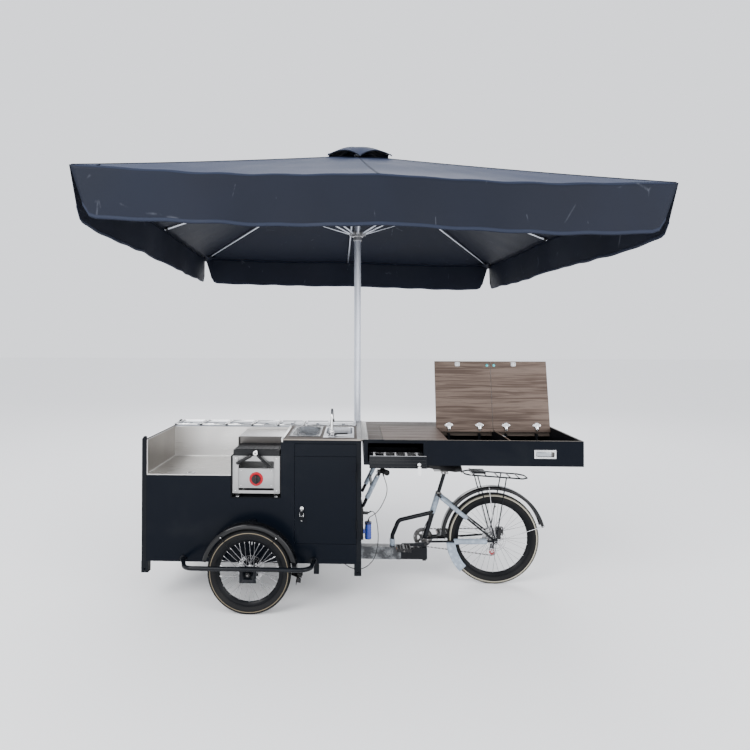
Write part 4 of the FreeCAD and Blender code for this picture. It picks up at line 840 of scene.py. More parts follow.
def roof_and_valances():
    roof = Shape().add(grid(36, 256, roof_place, closed=True), "cloth")
    roof = roof.done("parasol_roof", "parasol", "canopy_cloth", ["parasol_canopy"], 60, 0.0012)
    for side, name in enumerate(("rear", "far", "front", "near")):
        flap = Shape().add(grid(14, 110, lambda u, v, s=side: valance_place(s, u, v)), "cloth")
        flap = flap.done("valance_" + name, "parasol", "canopy_cloth", (), 60, 0.0012)
        hem = Shape().add(seam_band(lambda t, s=side: (valance_place(s, t, 0.955), Vector(UP)),
            sizes().seam * 1.4, 90), "stitch")
        hem.done("valance_hem_" + name, "parasol", "canopy_cloth", (), 60, 0.0026)


def vent_cap():
    half = (VENT_HIGH.x - 0.004) / (math.cos(ROOF_TURN) + math.sin(ROOF_TURN))
    top = VENT_HIGH.z

    def place(u, v):
        x, y, across = square_edge(u)
        x, y = x * half / ROOF_HALF, y * half / ROOF_HALF
        arch = math.sin(math.pi * across)
        z = top - 0.004 - CAP_DROP * v ** 1.6 + CAP_ARCH * arch ** 0.8 * v ** 3
        z += 0.002 * noise.noise(vec(x * 14, y * 14, 0))
        pulled = 1 - 0.05 * arch * v ** 3
        return parasol_spot(x * v * pulled, y * v * pulled, z)

    cap = Shape().add(grid(18, 128, place, closed=True), "cloth")
    cap = cap.done("parasol_cap", "parasol", "canopy_cloth", ["parasol_vent"], 60, 0.0014)
    edge = Shape().add(sweep([place(i / 128, 0.995) for i in range(128)], ring(0.0035, 6), closed=True),
        "stitch")
    for corner in (0.125, 0.375, 0.625, 0.875):
        strut = [place(corner, 0.1 + 0.08 * k) - vec(0, 0, 0.006) for k in range(11)]
        edge.add(sweep(strut, ring(0.0032, 8)), "hard_plastic")
    edge.add(rod((0, 0, top - 0.036), (0, 0, top - 0.014), 0.03, 24, 0.022), "hard_plastic")
    edge.done("parasol_cap_trim", "parasol", "hub_plastic")


def roof_seams():
    bands = Shape()
    for index in range(8):
        u = index / 8

        def on_roof(t, u=u):
            spot = roof_place(u, 0.01 + 0.985 * t)
            across = (roof_place(u + SEAM_STEP, 0.5) - roof_place(u - SEAM_STEP, 0.5)).normalized()
            return spot + vec(0, 0, 0.0012), across
        bands.add(seam_band(on_roof, sizes().seam, 60), "cloth")
        for shift in (-0.32, 0.32):
            line = [on_roof(k / 60)[0] + on_roof(k / 60)[1] * sizes().seam * shift + vec(0, 0,
                0.0012) for k in range(61)]
            bands.add(sweep(line, ring(0.0009, 5)), "stitch")
    piece = bands.done("roof_seams", "parasol", "canopy_cloth", (), 60)
    piece.modifiers.new("Thickness", "SOLIDIFY").thickness = 0.001
    corners = Shape()
    for index in range(4):
        u = (index * 2 + 1) / 8
        x, y, _ = square_edge(u)
        inward = vec(-x, -y, 0).normalized()
        side = vec(-inward.y, inward.x, 0)
        z = eave_height(x) - 0.02

        def pocket(p, q, x=x, y=y, inward=inward, side=side, z=z):
            width = 0.075 * (0.25 + 0.75 * q)
            spot = vec(x, y, z) + inward * (0.018 + 0.1 * q) + side * width * (p - 0.5) * 2
            spot.z -= 0.012 * (1 - (2 * p - 1) ** 2) - 0.035 * q
            return parasol_spot(*spot)
        corners.add(grid(8, 12, pocket), "cloth")
    corners.done("corner_pockets", "parasol", "canopy_cloth", (), 60, 0.002)


def pole_and_ribs():
    dress("parasol_pole", "pole_alloy", 0)
    dress("parasol_hubs", "alloy", 0.001)
    dress("parasol_ribs", "pole_alloy", 0.0015)
    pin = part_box("parasol_hubs")[0].z + 0.012
    detail = Shape()
    grooves = 12
    for i in range(grooves):
        a = FULL_TURN * i / grooves
        way = vec(math.cos(a), math.sin(a), 0)
        across = vec(-way.y, way.x, 0) * 0.0022
        foot, head = way * (POLE_R + 0.0002), way * (POLE_R + 0.0009)
        z0, z1 = POLE_LOW.z + 0.05, POLE_HIGH.z - 0.18
        outline = [foot - across + vec(0, 0, z0), foot + across + vec(0, 0, z0),
            foot + across + vec(0, 0, z1), foot - across + vec(0, 0, z1)]
        detail.add(slab(outline, head - foot), "pole_alloy")
    detail.add(rod((0, -POLE_R - 0.006, pin), (0, POLE_R + 0.006, pin), 0.004, 10), "plated")
    for i in range(8):
        a = ROOF_TURN + i * math.pi / 4
        way = vec(math.cos(a), math.sin(a), 0)
        side = vec(-way.y, way.x, 0)
        spot = way * 0.05 + vec(0, 0, HUB_HEIGHT)
        for push in (-1, 1):
            ear = spot + side * 0.0085 * push
            detail.add(block(vec(-0.01, -0.0012, -0.012), vec(0.012, 0.0012, 0.012), 0.001, 1), "alloy",
                Matrix.Translation(ear) @ Matrix.Rotation(a, 4, "Z"))
        detail.add(rod(spot - side * 0.012, spot + side * 0.012, 0.0025, 8), "plated")
        reach = ROOF_HALF * (math.sqrt(2) if i % 2 else 1)
        tip = vec(way.x * reach, way.y * reach, eave_height(reach * way.x))
        apex = vec(0, 0, APEX)
        along = (tip - apex).normalized()
        mid = apex + along * (tip - apex).length * 0.42 + vec(0, 0, -0.0095)
        detail.add(sweep([mid - along * 0.032, mid + along * 0.032],
            [(-0.0105, -0.012), (0.0105, -0.012), (0.0105, 0.0075), (-0.0105, 0.0075)]), "alloy")
        for push in (-1, 1):
            screws(detail, [mid + side * 0.0105 * push], side * push, 0.0035)
        end = tip - along * 0.026 + vec(0, 0, -0.0088)
        detail.add(sweep([end - along * 0.02, end], ring(0.0098, 14)), "hard_plastic")
    detail.done("parasol_fittings", "parasol", "rib_alu")


class CART_OT_parasol(bpy.types.Operator):
    """Makes the roof cloth, its valances and vent, and dresses the pole, ribs and hubs"""

    bl_idname = "cart.parasol"
    bl_label = "Parasol"

    def execute(self, context):
        roof_and_valances()
        vent_cap()
        roof_seams()
        pole_and_ribs()
        return {"FINISHED"}


# ---------------------------------------------------------------- cabinet
def rounded_loop(low, high, radius, z, corner_steps=6):
    """Points of a rounded rectangle at one height."""
    spots = []
    for cx, cy, start in ((high[0] - radius, high[1] - radius, 0),
            (low[0] + radius, high[1] - radius, 90), (low[0] + radius, low[1] + radius, 180),
            (high[0] - radius, low[1] + radius, 270)):
        for i in range(corner_steps + 1):
            a = math.radians(start + 90 * i / corner_steps)
            spots.append(vec(cx + radius * math.cos(a), cy + radius * math.sin(a), z))
    return spots


def loft(loops, capped=False):
    """A skin from each ring of points to the next."""
    bm = bmesh.new()
    rows = [[bm.verts.new(p) for p in loop] for loop in loops]
    for near, far in zip(rows, rows[1:]):
        for j in range(len(near)):
            k = (j + 1) % len(near)
            bm.faces.new((near[j], near[k], far[k], far[j]))
    if capped:
        bm.faces.new(rows[-1])
    bmesh.ops.recalc_face_normals(bm, faces=bm.faces[:])
    return bm


def basin(low, high, top, deep, flange, corner):
    """A pressed basin: rolled flange, soft rim, drawn walls and a floor that falls to the drain."""
    x0, y0 = low
    x1, y1 = high
    steps = [(-flange, -0.0016, 0.004), (-flange, 0.0014, 0.004), (-flange + 0.0015, 0.0022, 0.006),
        (-0.002, 0.0022, corner * 0.8), (0.0008, 0.0012, corner), (0.0026, -0.004, corner),
        (0.004, -deep * 0.5, corner), (0.0062, -deep + 0.026, corner),
        (0.0105, -deep + 0.012, corner * 0.9), (0.0185, -deep + 0.005, corner * 0.8),
        (0.03, -deep + 0.0028, corner * 0.7)]
    loops = [rounded_loop((x0 + d, y0 + d), (x1 - d, y1 - d), r, top + h) for d, h, r in steps]
    centre = vec((x0 + x1) / 2, (y0 + y1) / 2, 0)
    ways = [vec(p.x - centre.x, p.y - centre.y, 0).normalized() for p in loops[-1]]
    for radius, h in ((0.034, 0.0018), (0.026, 0.0012), (0.024, -0.002)):
        loops.append([centre + way * radius + vec(0, 0, top - deep + h) for way in ways])
    return loft(loops)


def drain(x, y, z):
    """A strainer with a rim and a sunk middle."""
    return turned([(0.03, 0), (0.031, 0.0014), (0.027, 0.0026), (0.022, 0.001), (0.019, -0.002),
        (0, -0.0025)], (x, y, z), UP, 36)


def door_lock():
    x, z, y = -0.347, 0.603, NEAR
    body = Shape()
    body.add(turned([(0, 0.0042), (0.0085, 0.0042), (0.0098, 0.003), (0.0102, -0.001), (0, -0.001)],
        (x, y - 0.0008, z), NEARWARD, 36), "bright_metal")
    body.add(turned([(0.0062, 0.0046), (0.006, 0.0056), (0, 0.0058)], (x, y, z), NEARWARD, 24), "plated")
    eye = vec(x, y - 0.02, z - 0.018)
    body.add(sweep([eye + vec(0, math.sin(a) * 0.004, 0) + vec(math.cos(a) * 0.0125, 0,
        math.sin(a) * 0.0125 - 0.0125) for a in [i * math.pi / 16 for i in range(32)]], ring(0.0009, 6),
        closed=True), "plated")
    for tilt, push in ((-0.14, -0.0022), (0.2, 0.003)):
        key = slab([vec(px, 0, pz) for px, pz in ((-0.01, 0), (-0.0075, 0.0075), (0, 0.0105),
            (0.0075, 0.0075), (0.01, 0), (0.006, -0.008), (0.003, -0.011), (0.0032, -0.018),
            (0.0018, -0.02), (0.0032, -0.022), (0.002, -0.025), (0.003, -0.028), (0, -0.032),
            (-0.0028, -0.029), (-0.0028, -0.011), (-0.006, -0.008))], vec(0, 0.0018, 0), 0.0002)
        turn = Matrix.Translation(eye + vec(push, push * 0.5, -0.026)) @ Matrix.Rotation(tilt, 4, "Y")
        body.add(key, "bright_metal", turn)
    body.done("door_lock_keys", "door", "body_panel")


def cabinet_fasteners():
    part = Shape()
    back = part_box("parasol_brackets")[1].y - 0.001
    screws(part, [(x, back, z) for z in (0.318, 0.342) for x in (-0.0216, 0.0216)], SIDEWAYS, 0.005)
    low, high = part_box("side_door")
    x, y = high.x + 0.0015, NEAR - 0.0028
    for z in (low.z + 0.07, high.z - 0.07):
        part.add(rod((x, y, z - 0.028), (x, y, z + 0.028), 0.0042, 16, None, 0.0008), "frame_satin")
    part.done("cabinet_fittings", "cart", "body_panel")
    feet = Shape()
    for x in (BOX_LEFT + 0.022, BOX_RIGHT - 0.022):
        for y, way in ((NEAR + 0.001, -1), (BACK - 0.001, 1)):
            feet.add(turned([(0.0062, 0.0008), (0.0085, 0.0008), (0.0085, -0.001), (0.0062, -0.001)],
                (x, y, 0.226), (0, way, 0), 24, shut=True), "dark_steel")
            y0, y1 = sorted((y, y - way * 0.0425))
            feet.add(block((x - 0.0215, y0, 0.1902), (x + 0.0215, y1, 0.1952), 0.0015), "rubber")
    feet.done("foot_pads", "cart", "frame_steel")


def tank_caps():
    part = Shape()
    low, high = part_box("water_tanks")
    y = NEAR + 0.11
    for x in (low.x + 0.095, high.x - 0.095):
        part.add(turned([(0, 0.022), (0.026, 0.022), (0.029, 0.018), (0.03, 0), (0.027, -0.003)],
            (x, y, high.z - 0.002), UP, 40), "blue_plastic")
        for i in range(28):
            a = FULL_TURN * i / 28
            spot = vec(x + 0.0298 * math.cos(a), y + 0.0298 * math.sin(a), high.z)
            part.add(rod(spot, spot + vec(0, 0, 0.015), 0.0012, 6), "blue_plastic")
        part.add(sweep(flowing([(x, y + 0.055, high.z - 0.033), (x, y + 0.065, high.z - 0.006),
            (x, y + 0.105, high.z + 0.002), (x, y + 0.145, high.z - 0.006),
            (x, y + 0.155, high.z - 0.033)], 6), ring(0.01, 12, 0.7)), "tank_skin")
        for z in (0.1, 0.16, 0.22):
            part.add(sweep([(x - 0.085, y - 0.0505, high.z - z), (x + 0.085, y - 0.0505, high.z - z)],
                ring(0.004, 10)), "tank_skin")
    part.done("tank_caps", "cart", "tank_plastic")


class CART_OT_cabinet(bpy.types.Operator):
    """Dresses the box, its door, frame, tanks and brackets, and adds the lock, keys and fasteners"""

    bl_idname = "cart.cabinet"
    bl_label = "Cabinet"

    def execute(self, context):
        dress("chassis", "frame_satin", 0.0015)
        for node in ("near_panel", "far_panel", "front_panel", "rear_panel"):
            dress(node, "panel_gloss")
        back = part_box("side_door")[1].y
        dress("side_door", "panel_gloss", None, [("bin_black", lambda c, n: c.y < NEAR - 0.0045),
            ("bright_metal", lambda c, n: c.y < NEAR - 0.0045 and c.z > 0.588 and c.x < -0.2),
            ("dark_steel", lambda c, n: c.y > back - 0.004 and abs(n.y) < 0.2)])
        dress("water_tanks", "tank_skin", 0.01)
        dress("parasol_brackets", "frame_satin", 0.002)
        dress("drawbar", "frame_gloss", 0.002)
        door_lock()
        cabinet_fasteners()
        tank_caps()
        return {"FINISHED"}


# ---------------------------------------------------------------- serving tray
def pan_row():
    low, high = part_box("pan_set")
    dress("pan_set", "pan_steel", 0.0016)
    count = 7
    pitch = (high.x - low.x) / count
    trim = Shape()
    for i in range(count + 1):
        x = low.x + pitch * i
        trim.add(block((x - 0.0042, low.y + 0.003, high.z - 0.01),
            (x + 0.0042, high.y - 0.003, high.z + 0.0012), 0.0016), "hard_plastic")
    trim.done("pan_dividers", "cart", "pan_steel")
    rims = Shape()
    for i in range(count):
        x0, x1 = low.x + pitch * i + 0.0062, low.x + pitch * (i + 1) - 0.0062
        y0, y1 = low.y + 0.004, high.y - 0.004
        outer = rounded_loop((x0, y0), (x1, y1), 0.016, high.z + 0.0006)
        rims.add(sweep(outer, ring(0.0021, 8), closed=True), "bright_metal")
        inner0, inner1 = (x0 + 0.01, y0 + 0.01), (x1 - 0.01, y1 - 0.01)
        loops = [rounded_loop(inner0, inner1, 0.014, high.z - 0.001),
            rounded_loop((inner0[0] + 0.002, inner0[1] + 0.002), (inner1[0] - 0.002, inner1[1] - 0.002),
            0.014, high.z - 0.006)]
        rims.add(loft(loops), "pan_steel")
        middle = (x0 + x1) / 2
        rims.add(sweep(flowing([(middle - 0.04, y0 + 0.012, high.z + 0.0015),
            (middle, y0 + 0.0085, high.z + 0.0028), (middle + 0.04, y0 + 0.012, high.z + 0.0015)], 6),
            ring(0.0012, 6)), "bright_metal")
    rims.done("pan_rims", "cart", "pan_steel")


def tray_lips():
    low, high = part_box("steel_liner")
    x0, x1 = -1.32, -0.791
    y0, y1 = low.y, -0.241
    floor, top = 0.803, high.z
    part = Shape()
    part.add(sweep([(x0 + 0.003, y0 + 0.004, top), (x0 + 0.003, y1 - 0.004, top)], ring(0.0032, 10)),
        "bright_metal")
    part.add(sweep([(x0 + 0.004, y1 - 0.001, 1.0005), (x1 - 0.004, y1 - 0.001, 1.0005)], ring(0.003, 10)),
        "bright_metal")
    z = floor + 0.0042
    for start, end in (((x0, y1 - 0.003, z), (x1, y1 - 0.003, z)),
            ((x0 + 0.003, y0 + 0.03, z), (x0 + 0.003, y1, z)),
            ((x1 - 0.003, y0 + 0.03, z), (x1 - 0.003, y1, z))):
        part.add(sweep([start, end], ring(0.0042, 10)), "sheet_steel")
    weld = [(0, 0.0007), (0.0022, 0.0005), (0.0034, -0.0002)]
    spots = [Matrix.Translation((x0 + 0.0002, y0 + 0.05 + i * 0.019, z)) for z in (0.925,
        0.872) for i in range(24)]
    part.copy(turned(weld, (0, 0, 0), (1, 0, 0), 10), "bright_metal", spots)
    spots = [Matrix.Translation((x0 + 0.03 + i * 0.0205, y1 - 0.0002, 0.982)) for i in range(24)]
    part.copy(turned(weld, (0, 0, 0), NEARWARD, 10), "bright_metal", spots)
    part.add(drain(-1.051, -0.716, floor + 0.0002), "plated")
    part.done("tray_lips", "cart", "liner_steel")


class CART_OT_tray(bpy.types.Operator):
    """Dresses the steel tray and its food pans, and adds lips, welds and dividers"""

    bl_idname = "cart.tray"
    bl_label = "Display tray and pans"

    def execute(self, context):
        # painted shade: the upright left wall gets a darker copy of the steel, and the bay's walls shaded
        # steel and black faces, where shade falls
        dress("steel_liner", "sheet_steel", 0.0015,
            [("upright_steel", lambda c, n: n.x > 0.5 and c.x < -1.25),
            ("shaded_steel", lambda c, n: c.x > -0.8 and c.z < 0.99),
            ("bin_black", lambda c, n: c.x > -0.8 and c.z < 0.99 and
            (n.y < -0.5 and c.y < NEAR + 0.02 or n.x > 0.5 or n.z > 0.5))])
        pan_row()
        tray_lips()
        return {"FINISHED"}


# ---------------------------------------------------------------- sink
BOWL_LOW, BOWL_HIGH = (-0.425, -0.655), (-0.25, -0.285)
SINK_LOW, SINK_HIGH = (-0.212, -0.57), (-0.035, -0.3)


def bowl_film():
    x0, x1 = BOWL_LOW[0] - 0.016, BOWL_HIGH[0] + 0.01
    y0, y1 = BOWL_LOW[1] - 0.014, BOWL_HIGH[1] + 0.018
    seed = vec(4.2, 1.7, 0.3)

    def place(u, v):
        x, y = x0 + (x1 - x0) * u, y0 + (y1 - y0) * v
        inside = min(x - BOWL_LOW[0], BOWL_HIGH[0] - x, y - BOWL_LOW[1], BOWL_HIGH[1] - y)
        dip = max(0, min(1, inside / 0.045))
        fold = noise.noise(vec(x * 12, y * 8, 0) + seed)
        sharp = 1 - 2 * abs(noise.noise(vec(x * 17 + y * 6, y * 15, 5)))
        z = TOP + 0.0042 - 0.04 * dip ** 1.4
        z += (0.014 * fold + 0.01 * sharp * sharp) * (0.16 + 0.84 * dip)
        x += 0.006 * noise.noise(vec(y * 17, 3, 0)) * (1 if 0.02 < u < 0.98 else 1.4)
        y += 0.007 * noise.noise(vec(x * 19, 8, 0))
        return vec(x, y, max(z, TOP + 0.0028) if inside < 0.004 else z)

    skin = Shape().add(grid(130, 70, place), "clear_film")
    skin = skin.done("bowl_film", "cart", "bowl_steel", (), 25, 0.0003)


def tap_rings():
    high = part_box("faucet_spout")[1]
    dress("faucet_body", "plated", 0.002)
    dress("faucet_spout", "bright_metal", 0, [("hard_plastic",
        lambda c, n: c.y > SPOUT.y + 0.104 and c.z < high.z - 0.08)])
    dress("faucet_lever", "hard_plastic", 0.0012)
    x, y = SPOUT.x, SPOUT.y
    mouth = high.z - 0.099
    part = Shape()
    part.add(turned([(0.0125, 0), (0.0138, 0.002), (0.0138, 0.011), (0.0124, 0.013)],
        (x, y + 0.12, mouth - 0.001), UP, 32), "hard_plastic")
    part.add(turned([(0, 0.0004), (0.0085, 0.0004), (0.0095, -0.0012), (0.0118, -0.0012),
        (0.0128, 0.0008)], (x, y + 0.12, mouth - 0.0008), UP, 32), "plated")
    part.add(turned([(0.0152, -0.003), (0.0166, 0), (0.0166, 0.006), (0.0152, 0.009)],
        (x, y, TOP + 0.026), UP, 36), "bright_metal")
    part.add(turned([(0.0092, 0), (0.0112, 0.003), (0.0112, 0.008), (0.0092, 0.011)], (x, y, TOP + 0.036),
        UP, 28), "bright_metal")
    part.done("tap_rings", "spout", "tap_chrome")
    base = Shape()
    base.add(turned([(0.0212, -0.001), (0.0265, 0), (0.0272, 0.003), (0.024, 0.006), (0.0212, 0.0065)],
        (x, y, TOP + 0.0022), UP, 40), "bright_metal")
    base.done("tap_base", "cart", "tap_chrome")


class CART_OT_sink(bpy.types.Operator):
    """Makes the two basins, the crumpled film and the tap, and dresses the wood round them"""

    bl_idname = "cart.sink"
    bl_label = "Sink"

    def execute(self, context):
        low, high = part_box("sink_top")
        dress("sink_top", "counter_wood", 0.0008, [("panel_gloss",
            lambda c, n: abs(n.z) < 0.5 and c.y < low.y + 0.003),
            ("edge_band", lambda c, n: abs(n.z) < 0.5 and c.x < low.x + 0.003)])
        bowls = Shape()
        # the deep basin is given a darker copy of the bowl steel, as painted shade inside it
        bowls.add(basin(BOWL_LOW, BOWL_HIGH, TOP, 0.147, 0.009, 0.07), "deep_bowl_steel")
        bowls.add(basin(SINK_LOW, SINK_HIGH, TOP, 0.127, 0.009, 0.032), "bowl_steel")
        deck = [(-0.221, -0.699), (-0.026, -0.576)]
        bowls.add(loft([rounded_loop(*deck, 0.004, TOP - 0.0012),
            rounded_loop(*deck, 0.004, TOP + 0.0016),
            rounded_loop((-0.2195, -0.6975), (-0.0275, -0.579), 0.005, TOP + 0.0023)], True),
            "bowl_steel")
        for x, y, z in (((BOWL_LOW[0] + BOWL_HIGH[0]) / 2, (BOWL_LOW[1] + BOWL_HIGH[1]) / 2,
                TOP - 0.1455), ((SINK_LOW[0] + SINK_HIGH[0]) / 2, (SINK_LOW[1] + SINK_HIGH[1]) / 2,
                TOP - 0.1255)):
            bowls.add(drain(x, y, z), "plated")
            for i in range(8):
                a = FULL_TURN * i / 8
                way = vec(math.cos(a), math.sin(a), 0)
                centre = vec(x, y, z - 0.0012)
                bowls.add(rod(centre + way * 0.004, centre + way * 0.017, 0.0011, 6), "plated")
        bowls.done("basins", "cart", "bowl_steel", ["sink_bowls"], 50)
        strip = Shape()
        strip.add(block((low.x - 0.0026, low.y + 0.0005, high.z - 0.02),
            (low.x + 0.0035, high.y - 0.002, high.z + 0.0016), 0.0008), "bright_metal")
        strip.add(block((low.x + 0.001, low.y - 0.0008, high.z - 0.007),
            (high.x - 0.001, low.y + 0.002, high.z + 0.0012), 0.0006), "edge_band")
        strip.done("sink_edge_strip", "cart", "sink_wood")
        bowl_film()
        tap_rings()
        return {"FINISHED"}


# ---------------------------------------------------------------- grill
GRILL_FRONT = -0.75
SHELL_TOP = 0.921
HANDLE_X = -0.632                                      # where the two handles cross


def grill_front():
    x0, x1, y, z0, z1 = -0.779, -0.485, GRILL_FRONT, 0.69, SHELL_TOP
    part = Shape()
    for x in (x0 + 0.019, x1 - 0.019):
        part.add(block((x - 0.017, y - 0.0035, z0 + 0.004), (x + 0.017, y + 0.002, z1 - 0.004), 0.0025,
            3), "silver_housing")
        screws(part, [(x, y - 0.0033, z) for z in (z0 + 0.016, z1 - 0.016)], NEARWARD, 0.0036)
    part.add(block((x0 + 0.04, y + 0.0012, z0 + 0.036), (x1 - 0.04, y + 0.0034, z1 - 0.082), 0.0006),
        "silver_housing")
    corners = [(x, y + 0.0014, z) for x in (x0 + 0.052, x1 - 0.052) for z in (z0 + 0.046, z1 - 0.092)]
    screws(part, corners, NEARWARD, 0.003)
    for x in (x0 + 0.026, x1 - 0.026):
        for yy in (y + 0.022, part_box("grill_body")[1].y - 0.022):
            part.add(turned([(0, 0.013), (0.0075, 0.013), (0.0115, 0.011), (0.0135, 0.004),
                (0.0155, 0.0004), (0.0155, 0)], (x, yy, 0.6661), UP, 28), "bright_metal")
    part.add(block((x0 + 0.004, y + 0.004, z1 - 0.0004), (x1 - 0.004, y + 0.19, z1 + 0.0012), 0.0004),
        "dark_steel")
    part.done("grill_trim", "cart", "grill_metal")


def grill_dial():
    x, y, z = DIAL.x, GRILL_FRONT, DIAL.z
    bezel = Shape()
    bezel.add(turned([(0.0262, 0.003), (0.03, 0.0044), (0.0385, 0.0044), (0.0425, 0.0022), (0.043, 0)],
        (x, y, z), NEARWARD, 64), "red_enamel")
    bezel.done("dial_ring", "cart", "grill_metal")
    knob = Shape()
    knob.add(turned([(0, 0.0098), (0.018, 0.0098), (0.0235, 0.0088), (0.0262, 0.0058), (0.027, 0.0004)],
        (x, y, z), NEARWARD, 56), "hard_plastic")
    grip = [(-0.0066, -0.0258), (0.0066, -0.0258), (0.0052, 0), (0.0056, 0.0258), (-0.0056, 0.0258),
        (-0.0052, 0)]
    knob.add(slab([vec(x + px, y - 0.0094, z + pz) for px, pz in grip], (0, -0.0134, 0), 0.0016),
        "hard_plastic")
    knob.add(block((x - 0.0007, y - 0.0235, z + 0.014), (x + 0.0007, y - 0.0226, z + 0.024), 0.0002),
        "red_enamel")
    knob.done("dial_grip", "grill_dial", "knob_plastic")


def grill_handles():
    mid, y = HANDLE_X, -0.775
    lower = Shape()
    handle_grip(lower, vec(mid - 0.027, y, 0.927), vec(-0.746, y, 0.881), 0.0094)
    lower.done("lower_handle_grip", "cart", "knob_plastic")
    upper = Shape()
    z = 0.9453
    handle_grip(upper, vec(mid + 0.002, y, z - 0.005), vec(-0.547, y, 0.861), 0.0089)
    upper.add(turned([(0, 0.0105), (0.0085, 0.0098), (0.0128, 0.0065), (0.0134, -0.0065),
        (0.01, -0.0098)], (mid, y, z), NEARWARD, 40), "bright_metal")
    upper.add(turned([(0, 0.0012), (0.0052, 0.0008), (0.0056, -0.001)], (mid, -0.7855, z), NEARWARD, 6),
        "dark_steel")
    upper.done("upper_handle_grip", "grill_lid", "cast_plate")


def handle_grip(part, start, end, radius):
    along = end - start
    for i in range(1, 15):
        spot = start + along * (0.16 + 0.8 * i / 15)
        way = along.normalized()
        part.add(turned([(radius * 0.93, -0.0016), (radius * 1.07, -0.0008), (radius * 1.07, 0.0008),
            (radius * 0.93, 0.0016)], spot, way, 24), "hard_plastic")
    part.add(turned([(radius * 0.98, -0.006), (radius * 1.1, -0.002), (radius * 0.98, 0.003),
        (radius * 0.55, 0.0055), (0, 0.0062)], end, along, 24), "hard_plastic")


def plate_ribs():
    x0, x1, y0, y1 = -0.776, -0.488, -0.746, -0.542
    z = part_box("grill_top")[1].z
    part = Shape()
    rib = rounded_loop((x0 + 0.01, y0 + 0.01), (x1 - 0.01, y1 - 0.01), 0.02, z + 0.0002)
    part.add(sweep(rib, ring(0.0026, 8), closed=True), "cast_black")
    for i in range(9):
        x = x0 + 0.045 + i * (x1 - x0 - 0.09) / 8
        part.add(sweep([(x, y0 + 0.034, z), (x, y1 - 0.034, z)], ring(0.0016, 6)), "cast_black")
    for x in (x0 + 0.06, x1 - 0.06):
        part.add(rod((x - 0.016, y1 - 0.006, z - 0.0014), (x + 0.016, y1 - 0.006, z - 0.0014), 0.003, 16),
            "cast_black")
    part.done("plate_ribs", "grill_lid", "cast_plate")


class CART_OT_grill(bpy.types.Operator):
    """Dresses the grill and adds its dial, posts, feet, pivot, handles and screws"""

    bl_idname = "cart.grill"
    bl_label = "Grill"

    def execute(self, context):
        dress("grill_body", "silver_housing", 0.0012,
            [("cast_black", lambda c, n: c.z > SHELL_TOP + 0.0008),
            ("hard_plastic", lambda c, n: c.y < -0.7565 and c.z > 0.865),
            ("hard_plastic", lambda c, n: c.z < 0.6905),
            ("red_enamel", lambda c, n: c.y < -0.7503 and 0.735 < c.z < 0.825)])
        dress("grill_top", "cast_black", 0.0015, [("bright_metal",
            lambda c, n: c.y < -0.753 and c.z > 0.926 and abs(c.x - HANDLE_X) < 0.015)])
        dress("grill_knob", "hard_plastic", 0.002)
        grill_front()
        grill_dial()
        grill_handles()
        plate_ribs()
        return {"FINISHED"}


# ---------------------------------------------------------------- folding counter
LIDS = ("lid_shut", "lid_middle", "lid_end")
LID_BODY = {"lid_shut": "lid_left", "lid_middle": "lid_middle", "lid_end": "lid_end"}
LID_UNDER = 1.013                                      # height of the lids' underside
LID_AXIS = vec(0, -0.251, LID_UNDER)
DRAWER_FRONT = -0.93
LID_LEFT, LID_PITCH, LID_WIDE = 0.156, 0.399667, 0.396667
LID_NEAR, LID_FAR = -0.734, -0.234


def lid_fittings(node):
    index = LIDS.index(node)
    x0 = LID_LEFT + index * LID_PITCH
    x1 = x0 + LID_WIDE
    opened = Matrix.Rotation(math.radians(-100), 4, "X")
    stand = Matrix.Identity(4)
    if index:
        stand = Matrix.Translation(LID_AXIS) @ opened @ Matrix.Translation(-LID_AXIS)
    back = stand.inverted()

    def on_edge(c, n):
        spot = back @ Vector(c)
        inside = x0 + 0.0006 < spot.x < x1 - 0.0006 and LID_NEAR + 0.0006 < spot.y < LID_FAR - 0.0006
        return spot.z > LID_UNDER + 0.0001 and not inside

    dress(node, "lid_wood", 0.0006, [("edge_band", on_edge),
        ("bright_metal", lambda c, n: (back @ Vector(c)).z < LID_UNDER - 0.0002)])
    part = Shape()
    under, y = LID_UNDER, LID_NEAR
    x = x0 + 0.163
    low, high = (x - 0.017, y + 0.006), (x + 0.017, y + 0.036)
    plate = [rounded_loop(low, high, 0.006, under + 0.0002),
        rounded_loop(low, high, 0.006, under - 0.0022),
        rounded_loop((x - 0.016, y + 0.007), (x + 0.016, y + 0.035), 0.005, under - 0.0028)]
    part.add(loft(plate, True), "white_plastic", stand)
    for dx in (-0.01, 0.01):
        for dy in (0.014, 0.028):
            part.add(turned([(0, 0.0003), (0.0026, 0.0003), (0.003, -0.0002)],
                (x + dx, y + dy, under - 0.0028), DOWN, 14), "dark_steel", stand)
    bead = {"lid_middle": x1 - 0.022, "lid_end": x0 + 0.024}.get(node)
    if bead:
        part.add(turned([(0, 0.0042), (0.0052, 0.004), (0.0088, 0.0026), (0.01, 0)],
            (bead, y + 0.03, under), DOWN, 18), "cyan_bead", stand)
    for dx in (0.09, 0.304):
        cup_hinge(part, x0 + dx, under, stand)
    part.done(node + "_fittings", LID_BODY[node], "lid_wood")


